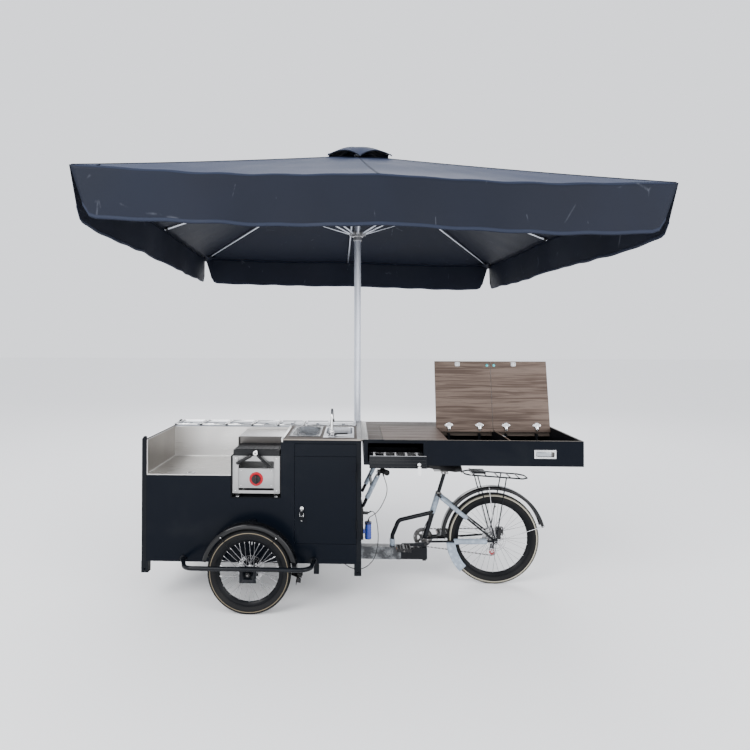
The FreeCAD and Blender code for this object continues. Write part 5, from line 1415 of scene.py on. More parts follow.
def cup_hinge(part, cx, under, stand):
    """A sprung cupboard hinge: oval flange, deep cup, cranked arm and its mounting wing."""
    y = LID_FAR - 0.045
    oval = [(0.0285 * math.cos(a), 0.0125 * math.sin(a) + (0.008 if abs(math.cos(a)) < 0.6 else 0)) for a
        in [FULL_TURN * i / 40 for i in range(40)]]
    outline = [vec(cx + px, y + py, under + 0.0002) for px, py in oval]
    part.add(slab(outline, (0, 0, -0.0018), 0.0005), "bright_metal", stand)
    part.add(turned([(0.0182, -0.0002), (0.0186, 0.003), (0.0172, 0.0036), (0.0166, -0.0035),
        (0, -0.004)], (cx, y, under - 0.001), DOWN, 40), "bright_metal", stand)
    for dx in (-0.0225, 0.0225):
        part.add(screw((cx + dx, y, under - 0.0016), DOWN, 0.0036), "plated", stand)
    arm = [(-0.0082, 0), (0.0082, 0), (0.0082, 0.0065), (0.0062, 0.0085), (-0.0062, 0.0085),
        (-0.0082, 0.0065)]
    line = flowing([(cx, y + 0.001, under - 0.001), (cx, y + 0.012, under - 0.0045),
        (cx, y + 0.026, under - 0.0052), (cx, y + 0.0365, under - 0.003)], 5)
    part.add(sweep(line, [(a, -b * 0.55) for a, b in arm]), "bright_metal", stand)
    part.add(screw((cx, y + 0.024, under - 0.0098), DOWN, 0.003), "plated", stand)


def drawer_fittings():
    dress("cash_drawer", "frame_satin", 0.0008,
        [("plated", lambda c, n: c.z > 0.9275 and -0.865 < c.y < -0.72 and c.z < 0.946),
        ("bright_metal", lambda c, n: c.y < DRAWER_FRONT - 0.0005)])
    low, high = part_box("cash_drawer")
    x0, x1, y = low.x + 0.003, high.x - 0.003, DRAWER_FRONT
    z0 = 0.896
    part = Shape()
    part.add(block((low.x + 0.0005, y - 0.0016, z0 + 0.001), (high.x - 0.0005, y + 0.001, high.z - 0.001),
        0.0008), "frame_gloss")
    for z in (z0 + 0.013, z0 + 0.031, z0 + 0.049):
        part.add(block((low.x + 0.006, y - 0.0032, z - 0.0008), (high.x - 0.006, y - 0.0012, z + 0.0008),
            0.0004), "hard_plastic")
    part.add(sweep([(x0, y + 0.006, high.z + 0.0002), (x1, y + 0.006, high.z + 0.0002)], ring(0.0024, 8)),
        "plated")
    step = (x1 - x0) / 5
    for i in range(5):
        cx = x0 + step * (i + 0.5)
        for dx in (-0.0066, 0.0066):
            part.add(sweep(flowing([(cx + dx, -0.73, 0.944), (cx + dx, -0.745, 0.936),
                (cx + dx, -0.8, 0.9335), (cx + dx, -0.852, 0.93), (cx + dx, -0.862, 0.936)], 5),
                ring(0.0013, 8)), "bright_metal")
        part.add(rod((cx - 0.0085, -0.855, 0.9335), (cx + 0.0085, -0.855, 0.9335), 0.0022, 10),
            "bright_metal")
    lock_x, lock_z = x1 - 0.042, 0.92
    part.add(turned([(0, 0.0068), (0.0078, 0.0068), (0.0092, 0.0056), (0.0102, 0.003), (0.0108, 0)],
        (lock_x, y, lock_z), NEARWARD, 40), "bright_metal")
    part.done("drawer_fittings", "drawer", "drawer_metal")


def counter_edges(low, high):
    part = Shape()
    for x in (0.555, 0.955):
        part.add(block((x - 0.0047, LID_NEAR + 0.004, 1.004), (x + 0.0047, LID_FAR - 0.045, 1.0129),
            0.0004), "bright_metal")
    for push in (0.0045, 0.0115):
        part.add(sweep([(high.x - push, low.y + 0.004, high.z), (high.x - push, high.y - 0.004, high.z)],
            ring(0.0012, 8)), "dark_steel")
    part.add(sweep([(low.x + 0.128, low.y + 0.0032, high.z + 0.0002),
        (high.x - 0.004, low.y + 0.0032, high.z + 0.0002)], ring(0.0012, 8)), "edge_band")
    part.done("counter_edges", "wing", "wing_board")
    pitch = (high.y - low.y - 0.09) / 7
    for side, x in (("wing", low.x + 0.016), ("box", 0.008)):
        pins = Shape()
        screws(pins, [(x, low.y + 0.045 + i * pitch, 1.03) for i in range(8)], UP, 0.004, 0.001)
        pins.done(side + "_hinge_screws", "wing" if side == "wing" else "cart", "hinge_steel")


def flush_handle():
    low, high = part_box("flush_handle")
    x0, x1, y, z0, z1 = low.x, high.x, low.y, low.z, high.z
    part = Shape()

    def loop(start, end, radius, out):
        return [vec(p.x, y + out, p.y) for p in rounded_loop(start, end, radius, 0)]

    outer = loop((x0 + 0.003, z0 + 0.003), (x1 - 0.003, z1 - 0.003), 0.006, 0.0006)
    part.add(sweep(outer, ring(0.0022, 8), closed=True, up=(0, 1, 0)), "plated")
    inner = loop((x0 + 0.0095, z0 + 0.0095), (x1 - 0.0095, z1 - 0.0105), 0.008, 0.0004)
    part.add(sweep(inner, ring(0.0012, 8), closed=True, up=(0, 1, 0)), "bright_metal")
    part.add(block((x0 + 0.014, y + 0.0012, z0 + 0.014), (x1 - 0.03, y + 0.0036, z1 - 0.014), 0.0008),
        "pan_steel")
    corners = [(x, y + 0.0002, z) for x in (x0 + 0.0052, x1 - 0.0052) for z in (z0 + 0.0052, z1 - 0.0052)]
    screws(part, corners, NEARWARD, 0.0026, 0.001)
    part.done("flush_handle_bail", "wing", "handle_steel")


class CART_OT_counter(bpy.types.Operator):
    """Dresses the folding counter and adds lid edges, hinges, the drawer's fittings and the flush handle"""

    bl_idname = "cart.counter"
    bl_label = "Folding counter"

    def execute(self, context):
        low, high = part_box("wing_case")
        dress("wing_case", "panel_gloss", 0, [("bin_black",
            lambda c, n: low.x + 0.004 < c.x < high.x - 0.004 and c.z > low.z + 0.001 and low.y + 0.004 <
            c.y < high.y - 0.004)])
        dress("wing_top", "counter_wood", 0.0008, [("edge_band",
            lambda c, n: n.y < -0.5 and c.z > 1.012)])
        dress("box_hinge_leaf", "hinge_steel", 0.0004)
        dress("wing_hinge_leaf", "hinge_steel", 0.0004)
        # the faces inside the handle's recess get dark steel, as painted shade inside it
        dress("flush_handle", "plated", 0.001, [("dark_steel",
            lambda c, n: c.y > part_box("flush_handle")[0].y + 0.003)])
        for node in LIDS:
            lid_fittings(node)
        drawer_fittings()
        counter_edges(low, high)
        flush_handle()
        return {"FINISHED"}


# ---------------------------------------------------------------- wheels
TYRE_BEAD = 0.047
TYRE_HALF = 0.024
RADII = {"near": 0.2525, "far": 0.2525, "rear": 0.305}
WHEEL_BODY = {"near": "front_near", "far": "front_far", "rear": "rear_wheel"}
ROTOR_SIDE = {"near": 1, "far": -1, "rear": -1}
HUB_HALF = {"near": 0.0424, "far": 0.0424, "rear": 0.064}
PLATE_OUT = 0.513                                      # from the middle plane to a front wheel's plate

def around(centre, angle):
    """A turn about an axle that lies along Y."""
    centre = Vector(centre)
    return Matrix.Translation(centre) @ Matrix.Rotation(angle, 4, "Y") @ Matrix.Translation(-centre)


def toothed(centre, root, tip, teeth, thick, bore):
    """A thin toothed disc about a Y axle."""
    bm = bmesh.new()
    rows = []
    for i in range(teeth * 6):
        phase = (i % 6) / 6
        r = root + (tip - root) * max(0, math.cos(FULL_TURN * phase)) ** 0.7
        a = FULL_TURN * i / (teeth * 6)
        way = vec(math.cos(a), 0, math.sin(a))
        rows.append([bm.verts.new(Vector(centre) + way * rr + SIDEWAYS * yy) for rr,
            yy in ((bore, -thick / 2), (r, -thick / 2), (r, thick / 2), (bore, thick / 2))])
    for i in range(len(rows)):
        near, far = rows[i], rows[(i + 1) % len(rows)]
        for j in range(4):
            k = (j + 1) % 4
            bm.faces.new((near[j], near[k], far[k], far[j]))
    bmesh.ops.recalc_face_normals(bm, faces=bm.faces[:])
    return bm


def spread(centre, count, start=0):
    """Turns about an axle that share out count copies evenly."""
    return [around(centre, start + FULL_TURN * i / count) for i in range(count)]


def tyre(name):
    centre, radius, h = AXLES[name], RADII[name], TYRE_HALF
    bead = radius - TYRE_BEAD
    crown = radius - 0.0022
    outline = [(bead + 0.0015, -h * 0.5), (bead, -h * 0.6), (bead + 0.003, -h * 0.66),
        (bead + 0.008, -h * 0.82), (bead + 0.016, -h * 0.95), (bead + 0.025, -h * 0.995),
        (radius - 0.012, -h * 0.9), (radius - 0.006, -h * 0.7), (crown - 0.0012, -h * 0.42),
        (crown, -h * 0.15)]
    outline = outline + [(r, -y) for r, y in reversed(outline)]
    part = Shape()
    part.add(turned(outline, centre, SIDEWAYS, 128), "rubber")
    wide = 0.0045 if name == "rear" else -0.0015
    tint = "tyre_line" if name == "rear" else "front_tyre_line"
    line = [(radius - 0.02, h * 0.955), (radius - 0.0198, h * 0.995),
        (radius - 0.0145 + wide, h * 0.958 - wide * 0.5),
        (radius - 0.0142 + wide, h * 0.915 - wide * 0.5)]
    for side in (-1, 1):
        part.add(turned([(r, side * y) for r, y in line], centre, SIDEWAYS, 128), tint)
        for r, y in ((bead + 0.0045, h * 0.735), (bead + 0.0235, h * 1)):
            part.add(turned([(r - 0.0008, side * y), (r, side * (y + 0.0006)), (r + 0.0008, side * y)],
                centre, SIDEWAYS, 96), "rubber")
    count = int(FULL_TURN * radius / sizes().tread)
    cx, cy, cz = centre
    knob = block((cx + crown - 0.0034, cy - 0.0048, cz - 0.0036), (cx + radius, cy + 0.0048, cz + 0.0036),
        0.0007, 1)
    part.copy(knob, "rubber", spread(centre, count))
    step = math.pi / count
    for side in (-1, 1):
        shoulder = block((cx + crown - 0.0052, cy + side * 0.0105 - 0.004, cz - 0.0038),
            (cx + radius - 0.0012, cy + side * 0.0105 + 0.004, cz + 0.003), 0.0007, 1)
        part.copy(shoulder, "rubber", spread(centre, count, step))
        outer = block((cx + radius - 0.0125, cy + side * 0.0178 - 0.003, cz - 0.003),
            (cx + radius - 0.004, cy + side * 0.0178 + 0.0024, cz + 0.0022), 0.0007, 1)
        part.copy(outer, "rubber", spread(centre, count))
    part.done("tread_" + name, WHEEL_BODY[name], "tyre_rubber", ["tyre_" + name], 40)


def laced_wheel(name):
    centre, radius = AXLES[name], RADII[name]
    cx, cy, cz = centre
    top = radius - TYRE_BEAD
    part = Shape()
    rim = [(top + 0.0015, -0.0145), (top + 0.0015, -0.0125), (top - 0.005, -0.0115),
        (top - 0.006, 0.0115), (top + 0.0015, 0.0125), (top + 0.0015, 0.0145), (top - 0.001, 0.0152),
        (top - 0.0105, 0.015), (top - 0.0175, 0.0115), (top - 0.024, 0.0062), (top - 0.0268, 0.003),
        (top - 0.027, 0), (top - 0.0268, -0.003), (top - 0.024, -0.0062), (top - 0.0175, -0.0115),
        (top - 0.0105, -0.015), (top - 0.001, -0.0152)]
    part.add(turned(rim, centre, SIDEWAYS, 128, shut=True), "rim_black")
    for side in (-1, 1):
        part.add(turned([(top - 0.01, side * 0.0151), (top - 0.0096, side * 0.01545),
            (top - 0.002, side * 0.0156), (top - 0.0016, side * 0.0152)], centre, SIDEWAYS, 96),
            "rim_black")
    flange, spokes = 0.026, 36
    rim_r = top - 0.0262
    for i in range(spokes):
        side = -1 if i % 2 else 1
        pull = (i // 2) % 2
        lead = math.radians(62 if pull else -62)
        out = cy + side * (flange + (0.0034 if pull else -0.0034))
        a = FULL_TURN * i / spokes
        hub_end = vec(cx + 0.0215 * math.cos(a + lead), out, cz + 0.0215 * math.sin(a + lead))
        rim_end = vec(cx + rim_r * math.cos(a), cy + side * 0.003, cz + rim_r * math.sin(a))
        part.add(rod(hub_end, rim_end, 0.0013, 6), "spoke_steel")
        way = (rim_end - hub_end).normalized()
        part.add(rod(rim_end - way * 0.011, rim_end + way * 0.001, 0.002, 8, 0.0024), "plated")
        part.add(rod(hub_end - SIDEWAYS * side * 0.003, hub_end + SIDEWAYS * side * 0.0012, 0.0019, 8),
            "spoke_steel")
    hub = HUB_HALF[name]
    shell = [(0.0072, -hub), (0.013, -hub), (0.0146, -hub + 0.002), (0.015, -flange - 0.005),
        (0.0255, -flange - 0.0016), (0.0272, -flange), (0.0255, -flange + 0.0016),
        (0.0175, -flange + 0.006), (0.0138, -0.012), (0.0134, 0), (0.0138, 0.012),
        (0.0175, flange - 0.006), (0.0255, flange - 0.0016), (0.0272, flange), (0.0255, flange + 0.0016),
        (0.015, flange + 0.005), (0.0146, hub - 0.002), (0.013, hub), (0.0072, hub)]
    part.add(turned(shell, centre, SIDEWAYS, 56), "alloy")
    brake_disc(part, centre, ROTOR_SIDE[name])
    tyre_valve(part, centre, top)
    part.done("laced_wheel_" + name, WHEEL_BODY[name], "wheel_black", ["wheel_" + name], 40)


def brake_disc(part, centre, side):
    cx, cy, cz = centre
    y = cy + side * 0.037
    at = vec(cx, y, cz)
    for r0, r1 in ((0.0615, 0.065), (0.0765, 0.08)):
        part.add(turned([(r0, -0.001), (r1, -0.001), (r1, 0.001), (r0, 0.001)], at, SIDEWAYS, 96,
            shut=True), "plated")
    bar = slab([vec(cx + px, y - 0.001, cz + pz) for px,
        pz in ((0.064, -0.003), (0.0775, 0.0008), (0.0775, 0.0052), (0.064, 0.0014))], (0, 0.002, 0))
    part.copy(bar, "plated", spread(at, 36))
    arm = slab([vec(cx + px, y - 0.0009, cz + pz) for px,
        pz in ((0.018, -0.006), (0.034, -0.015), (0.05, -0.0185), (0.063, -0.015), (0.063, -0.0095),
        (0.05, -0.0118), (0.036, -0.0085), (0.022, 0.002))], (0, 0.0018, 0))
    part.copy(arm, "plated", spread(at, 6))
    part.add(turned([(0.015, -0.0014), (0.024, -0.0014), (0.024, 0.0014), (0.015, 0.0014)], at, SIDEWAYS,
        48, shut=True), "dark_steel")
    bolt = screw(at + vec(0.0195, side * 0.0012, 0), SIDEWAYS * side, 0.0034, 0.0022)
    part.copy(bolt, "plated", spread(at, 6, 0.3))


def tyre_valve(part, centre, top):
    cx, cy, cz = centre
    start = vec(cx, cy, cz + top - 0.026)
    part.add(rod(start, start - vec(0, 0, 0.02), 0.0026, 10), "plated", around(centre, 0.09))
    part.add(rod(start - vec(0, 0, 0.018), start - vec(0, 0, 0.026), 0.0036, 12, 0.003), "hard_plastic",
        around(centre, 0.09))


class CART_OT_wheels(bpy.types.Operator):
    """Makes the tyres with their tread and line, the rims, laced spokes, hubs and brake discs"""

    bl_idname = "cart.wheels"
    bl_label = "Wheels"

    def execute(self, context):
        for name in ("near", "far", "rear"):
            tyre(name)
            laced_wheel(name)
        return {"FINISHED"}


# ---------------------------------------------------------------- fenders and guards
def fender_section(half, deep, thick, crown=0.006):
    """A rounded channel: across, then height above the sweep line, outside then back inside."""
    outer = [(-half, -deep), (-half, -0.01), (-half * 0.94, -0.004), (-half * 0.75, crown * 0.1 - 0.0006),
        (-half * 0.4, 0), (0, 0), (half * 0.4, 0), (half * 0.75, crown * 0.1 - 0.0006),
        (half * 0.94, -0.004), (half, -0.01), (half, -deep)]
    inner = [(max(-half + thick, min(half - thick, x)), max(-deep, z - thick)) for x, z in reversed(outer)]
    return outer + inner


def front_fenders():
    part = Shape()
    cx, cz = AXLES["near"].x, AXLES["near"].z
    for name, side in (("near", -1), ("far", 1)):
        cy = AXLES[name].y
        line = arc((cx, cz), 0.29, -9, 166, 72, cy)
        part.add(sweep(line, fender_section(0.034, 0.026, 0.0022)), "fender_gloss")
        inward = NEAR if side < 0 else BACK
        y0, y1 = sorted((cy - side * 0.034, inward))
        part.add(block((cx - 0.02, y0, cz + 0.255), (cx + 0.02, y1, cz + 0.28), 0.003), "frame_satin")
        part.add(block((cx + 0.2832, cy - 0.033, 0.187), (cx + 0.2858, cy + 0.033, 0.214), 0.001), "rubber")
        for i in range(5):
            y = cy - 0.026 + 0.013 * i
            part.add(block((cx + 0.2828, y - 0.0012, 0.189), (cx + 0.2864, y + 0.0012, 0.206), 0.0005),
                "rubber")
        for angle in (52, 128):
            c, s = math.cos(math.radians(angle)), math.sin(math.radians(angle))
            out = cy + side * 0.0375
            plate = MIDDLE + side * PLATE_OUT
            top = vec(cx + 0.27 * c, out, cz + 0.27 * s)
            low = vec(cx + 0.078 * c, plate - side * 0.0095, cz + 0.078 * s)
            part.add(rod(low, top, 0.0026, 10), "rim_black")
            part.add(block(top - vec(0.009, 0.0042, 0.006), top + vec(0.009, 0.0042, 0.006), 0.002),
                "hard_plastic")
            part.add(screw(top + vec(0, side * 0.0042, 0), (0, side, 0), 0.0036), "plated")
            part.add(screw(low + vec(0, side * 0.002, 0), (0, side, 0), 0.005), "plated")
    part.done("front_fender_shells", "cart", "fender_black", ["front_fenders"], 45)


def rear_fender():
    part = Shape()
    cx, cz = AXLES["rear"].x, AXLES["rear"].z
    line = arc((cx, cz), 0.35, 14, 182, 96, MIDDLE)
    part.add(sweep(line, fender_section(0.0275, 0.022, 0.0022)), "fender_gloss")
    for side in (-1, 1):
        y = MIDDLE + side * 0.0785
        part.add(turned([(0.0072, -0.002), (0.0115, -0.002), (0.012, 0), (0.0115, 0.002),
            (0.0072, 0.002)], (cx, y, cz), SIDEWAYS, 28, shut=True), "plated")
        for angle in (15.5, 95):
            c, s = math.cos(math.radians(angle)), math.sin(math.radians(angle))
            foot = vec(cx + 0.009 * c, y, cz + 0.009 * s)
            top = vec(cx + 0.349 * c, MIDDLE + side * 0.0297, cz + 0.349 * s)
            part.add(rod(foot, top, 0.0023, 10), "plated")
            way = (top - foot).normalized()
            part.add(rod(top - way * 0.016, top - way * 0.001, 0.0036, 12, None, 0.0006), "hard_plastic")
            part.add(screw(top - way * 0.008 + vec(0, side * 0.003, 0), (0, side, 0), 0.0032), "plated")
    part.done("rear_fender_shell", "bike", "fender_black", ["rear_fender"], 45)


def plate_bolts():
    part = Shape()
    for name, side in (("near", -1), ("far", 1)):
        cx, _, cz = AXLES[name]
        y = MIDDLE + side * PLATE_OUT
        part.add(turned([(0, 0), (0.0162, 0), (0.0162, 0.0016), (0, 0.0018)], (cx, y, cz), (0, side, 0),
            32), "rim_black")
        part.add(hex_nut((cx, y + side * 0.0016, cz), (0, side, 0), 0.0125, 0.0065), "dark_steel")
        part.add(rod((cx, y, cz), (cx, y + side * 0.01, cz), 0.0048, 16, 0.0042), "dark_steel")
        screws(part, [(cx + dx, y, cz + 0.03) for dx in (-0.038, 0.038)], (0, side, 0), 0.0055, 0.003)
    part.done("wheel_plate_bolts", "cart", "rail_steel")


class CART_OT_fenders(bpy.types.Operator):
    """Makes the fenders with their stays and the flaps, and dresses the wheel guards"""

    bl_idname = "cart.fenders"
    bl_label = "Fenders and guards"

    def execute(self, context):
        dress("wheel_guards", "frame_gloss", 0.0015)
        front_fenders()
        rear_fender()
        plate_bolts()
        return {"FINISHED"}


# ---------------------------------------------------------------- bicycle
SEAT_SLOPE = 0.3
CHAIN_Y = MIDDLE + 0.051


def seat_spot(z):
    return vec(CRANK.x + SEAT_SLOPE * (z - CRANK.z), MIDDLE, z)


def wrapped(start, end, radius, seed, turns):
    """Thin foam wound round a tube: lumpy, with a spiral edge and ragged ends."""
    start, end = Vector(start), Vector(end)
    frame_at = aimed(start, end)
    span = (end - start).length
    rows = max(12, int(span / 0.005))

    def place(u, v):
        a = FULL_TURN * u
        spiral = (v * turns + u) % 1
        lump = noise.noise(vec(math.cos(a) * 1.5 + seed, math.sin(a) * 1.5, v * span * 38))
        fine = noise.noise(vec(math.cos(a) * 5 + seed, math.sin(a) * 5, v * span * 120))
        r = radius + sizes().wrap * (0.62 + 0.42 * lump + 0.22 * fine + 0.35 * spiral)
        ragged = 0.006 * noise.noise(vec(math.cos(a) * 2, math.sin(a) * 2, seed))
        if v < 0.02 or v > 0.98:
            r = radius + 0.0006
        return frame_at @ vec(r * math.cos(a), r * math.sin(a), v * span + ragged)
    return grid(rows, 40, place, closed=True)


def belt_line(circles, pitch):
    """Evenly spaced places on a chain's line round circles given anticlockwise as (x, z, r)."""
    line = []
    for i, (ax, az, ar) in enumerate(circles):
        bx, bz, br = circles[(i + 1) % len(circles)]
        px, pz, pr = circles[i - 1]

        def leave(x0, z0, r0, x1, z1, r1):
            gap = math.hypot(x1 - x0, z1 - z0)
            return math.atan2(z1 - z0, x1 - x0) - math.pi / 2 + math.asin((r0 - r1) / gap)
        come = leave(px, pz, pr, ax, az, ar)
        go = leave(ax, az, ar, bx, bz, br)
        turn = (go - come) % FULL_TURN
        steps = max(4, int(turn * ar / 0.002))
        line += [vec(ax + ar * math.cos(come + turn * k / steps), 0,
            az + ar * math.sin(come + turn * k / steps)) for k in range(steps + 1)]
    total = sum((b - a).length for a, b in zip(line, line[1:] + line[:1]))
    count = 2 * int(round(total / pitch / 2))
    step, travelled, target, spots = total / count, 0, 0, []
    for a, b in zip(line, line[1:] + line[:1]):
        reach = (b - a).length
        while target < travelled + reach - 1e-9 and len(spots) < count:
            spots.append(a.lerp(b, (target - travelled) / reach))
            target += step
        travelled += reach
    return spots


def flat_link(start, end, radii, waist, steps, middle=None):
    """The outline of a flat bar across the axles: round ends and a waist at its middle."""
    along = (end - start).normalized()
    rise = along.cross(SIDEWAYS)
    middle = middle or start + along * (end - start).length * 0.5
    outline = []
    for centre, radius, first in ((start, radii[0], math.pi / 2), (end, radii[1], -math.pi / 2)):
        for k in range(steps + 1):
            a = first + math.pi * k / steps
            outline.append(centre + along * radius * math.cos(a) + rise * radius * math.sin(a))
        outline.append(middle - rise * waist if centre is start else middle + rise * waist)
    return outline


def saddle():
    low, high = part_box("saddle")
    long = high.x - low.x
    nose = low.x

    def half(t):
        wide = 0.018 + 0.072 * max(0, min(1, (t - 0.34) / 0.44)) ** 1.35
        rear = max(0, (t - 0.9) / 0.1)
        return wide * math.sqrt(max(0, 1 - 0.55 * rear * rear)) * (min(1, (t + 0.012) / 0.05) ** 0.5)

    def top_line(t):
        return high.z - 0.003 - 0.011 * math.sin(math.pi * min(1, t * 1.15)) * (1 if t < 0.87 else 0.6)

    def place(u, v):
        t = 0.002 + 0.996 * v
        across = u * 2 - 1
        a = across * math.pi * 0.5
        w = half(t)
        y = w * math.sin(a)
        drop = (1 - math.cos(a)) ** 1.6
        deep = 0.03 + 0.01 * t
        groove = 0.0045 * math.exp(-(across / 0.1) ** 2) * max(0,
            math.sin(math.pi * min(1, (t - 0.15) / 0.8)))
        end = 0.018 * max(0, (t - 0.92) / 0.08) ** 2 + 0.01 * max(0, (0.06 - t) / 0.06) ** 2
        z = top_line(t) - deep * drop - groove - end
        return vec(nose + 0.002 + (long - 0.004) * t, MIDDLE + y, z)
    part = Shape().add(grid(64, 40, place), "saddle_skin")
    seat = part.done("saddle_pad", "seat", "saddle_skin", ["saddle"], 70, 0.004)
    shell = Shape()

    def under(u, v):
        t = 0.02 + 0.96 * v
        w = half(t) * 0.96
        y = w * (u * 2 - 1)
        z = top_line(t) - 0.034 - 0.008 * t + 0.006 * (1 - (u * 2 - 1) ** 2)
        return vec(nose + 0.004 + (long - 0.008) * t, MIDDLE + y, max(z, low.z + 0.001))
    shell.add(grid(40, 16, under), "hard_plastic")
    for side in (-1, 1):
        seam = [place(0.5 + side * 0.3, 0.03 + 0.94 * k / 60) + vec(0, 0, 0.0021) for k in range(61)]
        shell.add(sweep(seam, ring(0.0009, 6)), "soft_plastic")
        edge = [place(0.5 + side * 0.497, 0.01 + 0.98 * k / 60) for k in range(61)]
        shell.add(sweep(edge, ring(0.0026, 8)), "soft_plastic")
    shell.done("saddle_trim", "seat", "saddle_skin")
    rails = Shape()
    top = seat_spot(0.742)
    for side in (-1, 1):
        rails.add(turned([(0, 0.004), (0.0048, 0.004), (0.0048, 0), (0, 0)], (top.x, MIDDLE, 0.7335),
            DOWN, 6), "plated")
        rails.add(rod((top.x - 0.012 * side, MIDDLE - 0.026, 0.745),
            (top.x - 0.012 * side, MIDDLE + 0.026, 0.745), 0.0042, 14), "plated")
    rails.done("saddle_clamp_bolts", "seat", "post_alu")


def chain():
    cx, cz = AXLES["rear"].x, AXLES["rear"].z
    lift = 0.0036
    circles = [(CRANK.x, CRANK.z, 0.056 + lift), (cx + 0.008, cz - 0.118, 0.019 + lift),
        (cx, cz, 0.04 + lift)]
    spots = belt_line(circles, sizes().link)
    part = Shape()
    count = len(spots)
    for i, spot in enumerate(spots):
        after = spots[(i + 1) % count]
        start = vec(spot.x, CHAIN_Y, spot.z)
        end = vec(after.x, CHAIN_Y, after.z)
        out = 0.003 if i % 2 else 0.0018
        outline = flat_link(start, end, (0.0036, 0.0036), 0.0024, 6)
        for side in (-1, 1):
            plate = [p + SIDEWAYS * (side * out) for p in outline]
            part.add(slab(plate, SIDEWAYS * side * 0.0009), "dark_steel" if i % 2 else "plated")
        part.add(rod(start - SIDEWAYS * 0.0022, start + SIDEWAYS * 0.0022, 0.003, 10), "plated")
        part.add(rod(start - SIDEWAYS * 0.0043, start + SIDEWAYS * 0.0043, 0.0014, 8), "plated")
    part.done("chain_links", "bike", "chain_steel", ["chain"], 40)


def crank_set():
    part = Shape()
    at = vec(CRANK.x, CHAIN_Y, CRANK.z)
    part.add(toothed(at, 0.0535, 0.06, 28, 0.0024, 0.04), "dark_steel")
    part.add(turned([(0.06, -0.006), (0.064, -0.0066), (0.0655, -0.0052), (0.064, -0.004),
        (0.05, -0.0036), (0.049, -0.006)], at, -SIDEWAYS, 64, shut=True), "hard_plastic")
    for i in range(5):
        leg = slab([vec(CRANK.x + px, CHAIN_Y - 0.0012, CRANK.z + pz) for px,
            pz in ((0.01, -0.01), (0.042, -0.0065), (0.044, 0.0065), (0.01, 0.01))], (0, 0.0046, 0),
            0.0008)
        part.add(leg, "dark_steel", around(at, FULL_TURN * i / 5))
        part.add(screw(vec(CRANK.x + 0.041, CHAIN_Y + 0.0034, CRANK.z), SIDEWAYS, 0.0042, 0.002),
            "plated", around(at, FULL_TURN * i / 5))
    part.add(rod((CRANK.x, MIDDLE - 0.076, CRANK.z), (CRANK.x, MIDDLE + 0.076, CRANK.z), 0.008, 20),
        "dark_steel")
    part.add(rod((CRANK.x, CHAIN_Y - 0.004, CRANK.z), (CRANK.x, MIDDLE + 0.07, CRANK.z), 0.017, 28),
        "dark_steel")
    for side in (-1, 1):
        root = vec(CRANK.x, 0, CRANK.z)
        tip = vec(CRANK.x + side * 0.15, 0, CRANK.z + side * 0.008)
        middle = root + (tip - root).normalized() * 0.075
        outline = flat_link(root, tip, (0.0155, 0.0118), 0.0095, 12, middle)
        base = MIDDLE + side * 0.0625
        part.add(slab([p + SIDEWAYS * base for p in outline], SIDEWAYS * side * 0.013, 0.0028),
            "frame_gloss")
        part.add(turned([(0, 0.0022), (0.0085, 0.002), (0.01, 0), (0.01, -0.001)],
            (CRANK.x, base + side * 0.013, CRANK.z), (0, side, 0), 24), "hard_plastic")
        part.add(rod(tip + SIDEWAYS * (base + side * 0.006), tip + SIDEWAYS * (MIDDLE + side * 0.08),
            0.0072, 16), "plated")
        part.add(rod(tip + SIDEWAYS * (MIDDLE + side * 0.078), tip + SIDEWAYS * (MIDDLE + side * 0.177),
            0.0048, 14), "dark_steel")
    part.done("crank_set", "crank", "crank_black", ["crankset"], 40)


def pedal(node):
    low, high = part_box(node)
    x, z = (low.x + high.x) / 2, (low.z + high.z) / 2
    part = Shape()
    middle = (low.y + high.y) / 2
    half_x, half_y = (high.x - low.x) / 2, (high.y - low.y) / 2
    part.add(turned([(0.0052, -half_y), (0.011, -half_y), (0.0128, -half_y + 0.006),
        (0.0112, -half_y + 0.02), (0.0104, 0), (0.0112, half_y - 0.016), (0.0118, half_y - 0.004),
        (0.009, half_y), (0, half_y)], (x, middle, z), SIDEWAYS, 32), "hard_plastic")
    for end in (-1, 1):
        rail_x = x + end * (half_x - 0.004)
        part.add(block((rail_x - 0.004, low.y + 0.004, low.z + 0.001),
            (rail_x + 0.004, high.y - 0.004, high.z - 0.001), 0.0028), "hard_plastic")
        inner_x = x + end * (half_x - 0.026)
        part.add(block((inner_x - 0.0022, low.y + 0.004, low.z + 0.004),
            (inner_x + 0.0022, high.y - 0.004, high.z - 0.004), 0.0015), "hard_plastic")
        lens_x = rail_x + end * 0.0034
        part.add(block((lens_x - 0.0008, middle - 0.02, z - 0.0065),
            (lens_x + 0.0008, middle + 0.02, z + 0.0065), 0.0004), "amber_lens")
        for i in range(9):
            y = low.y + 0.01 + i * (2 * half_y - 0.02) / 8
            for lift in (low.z + 0.0006, high.z - 0.0006):
                part.add(block((rail_x - 0.0036, y - 0.0022, lift - 0.0006),
                    (rail_x + 0.0036, y + 0.0022, lift + 0.0006), 0.0003, 1), "hard_plastic")
    for y in (low.y + 0.005, middle - 0.02, middle + 0.02, high.y - 0.005):
        part.add(block((low.x + 0.003, y - 0.0032, z - 0.008), (high.x - 0.003, y + 0.0032, z + 0.008),
            0.002), "hard_plastic")
    part.done(node + "_platform", node, "pedal_black", [node], 40)


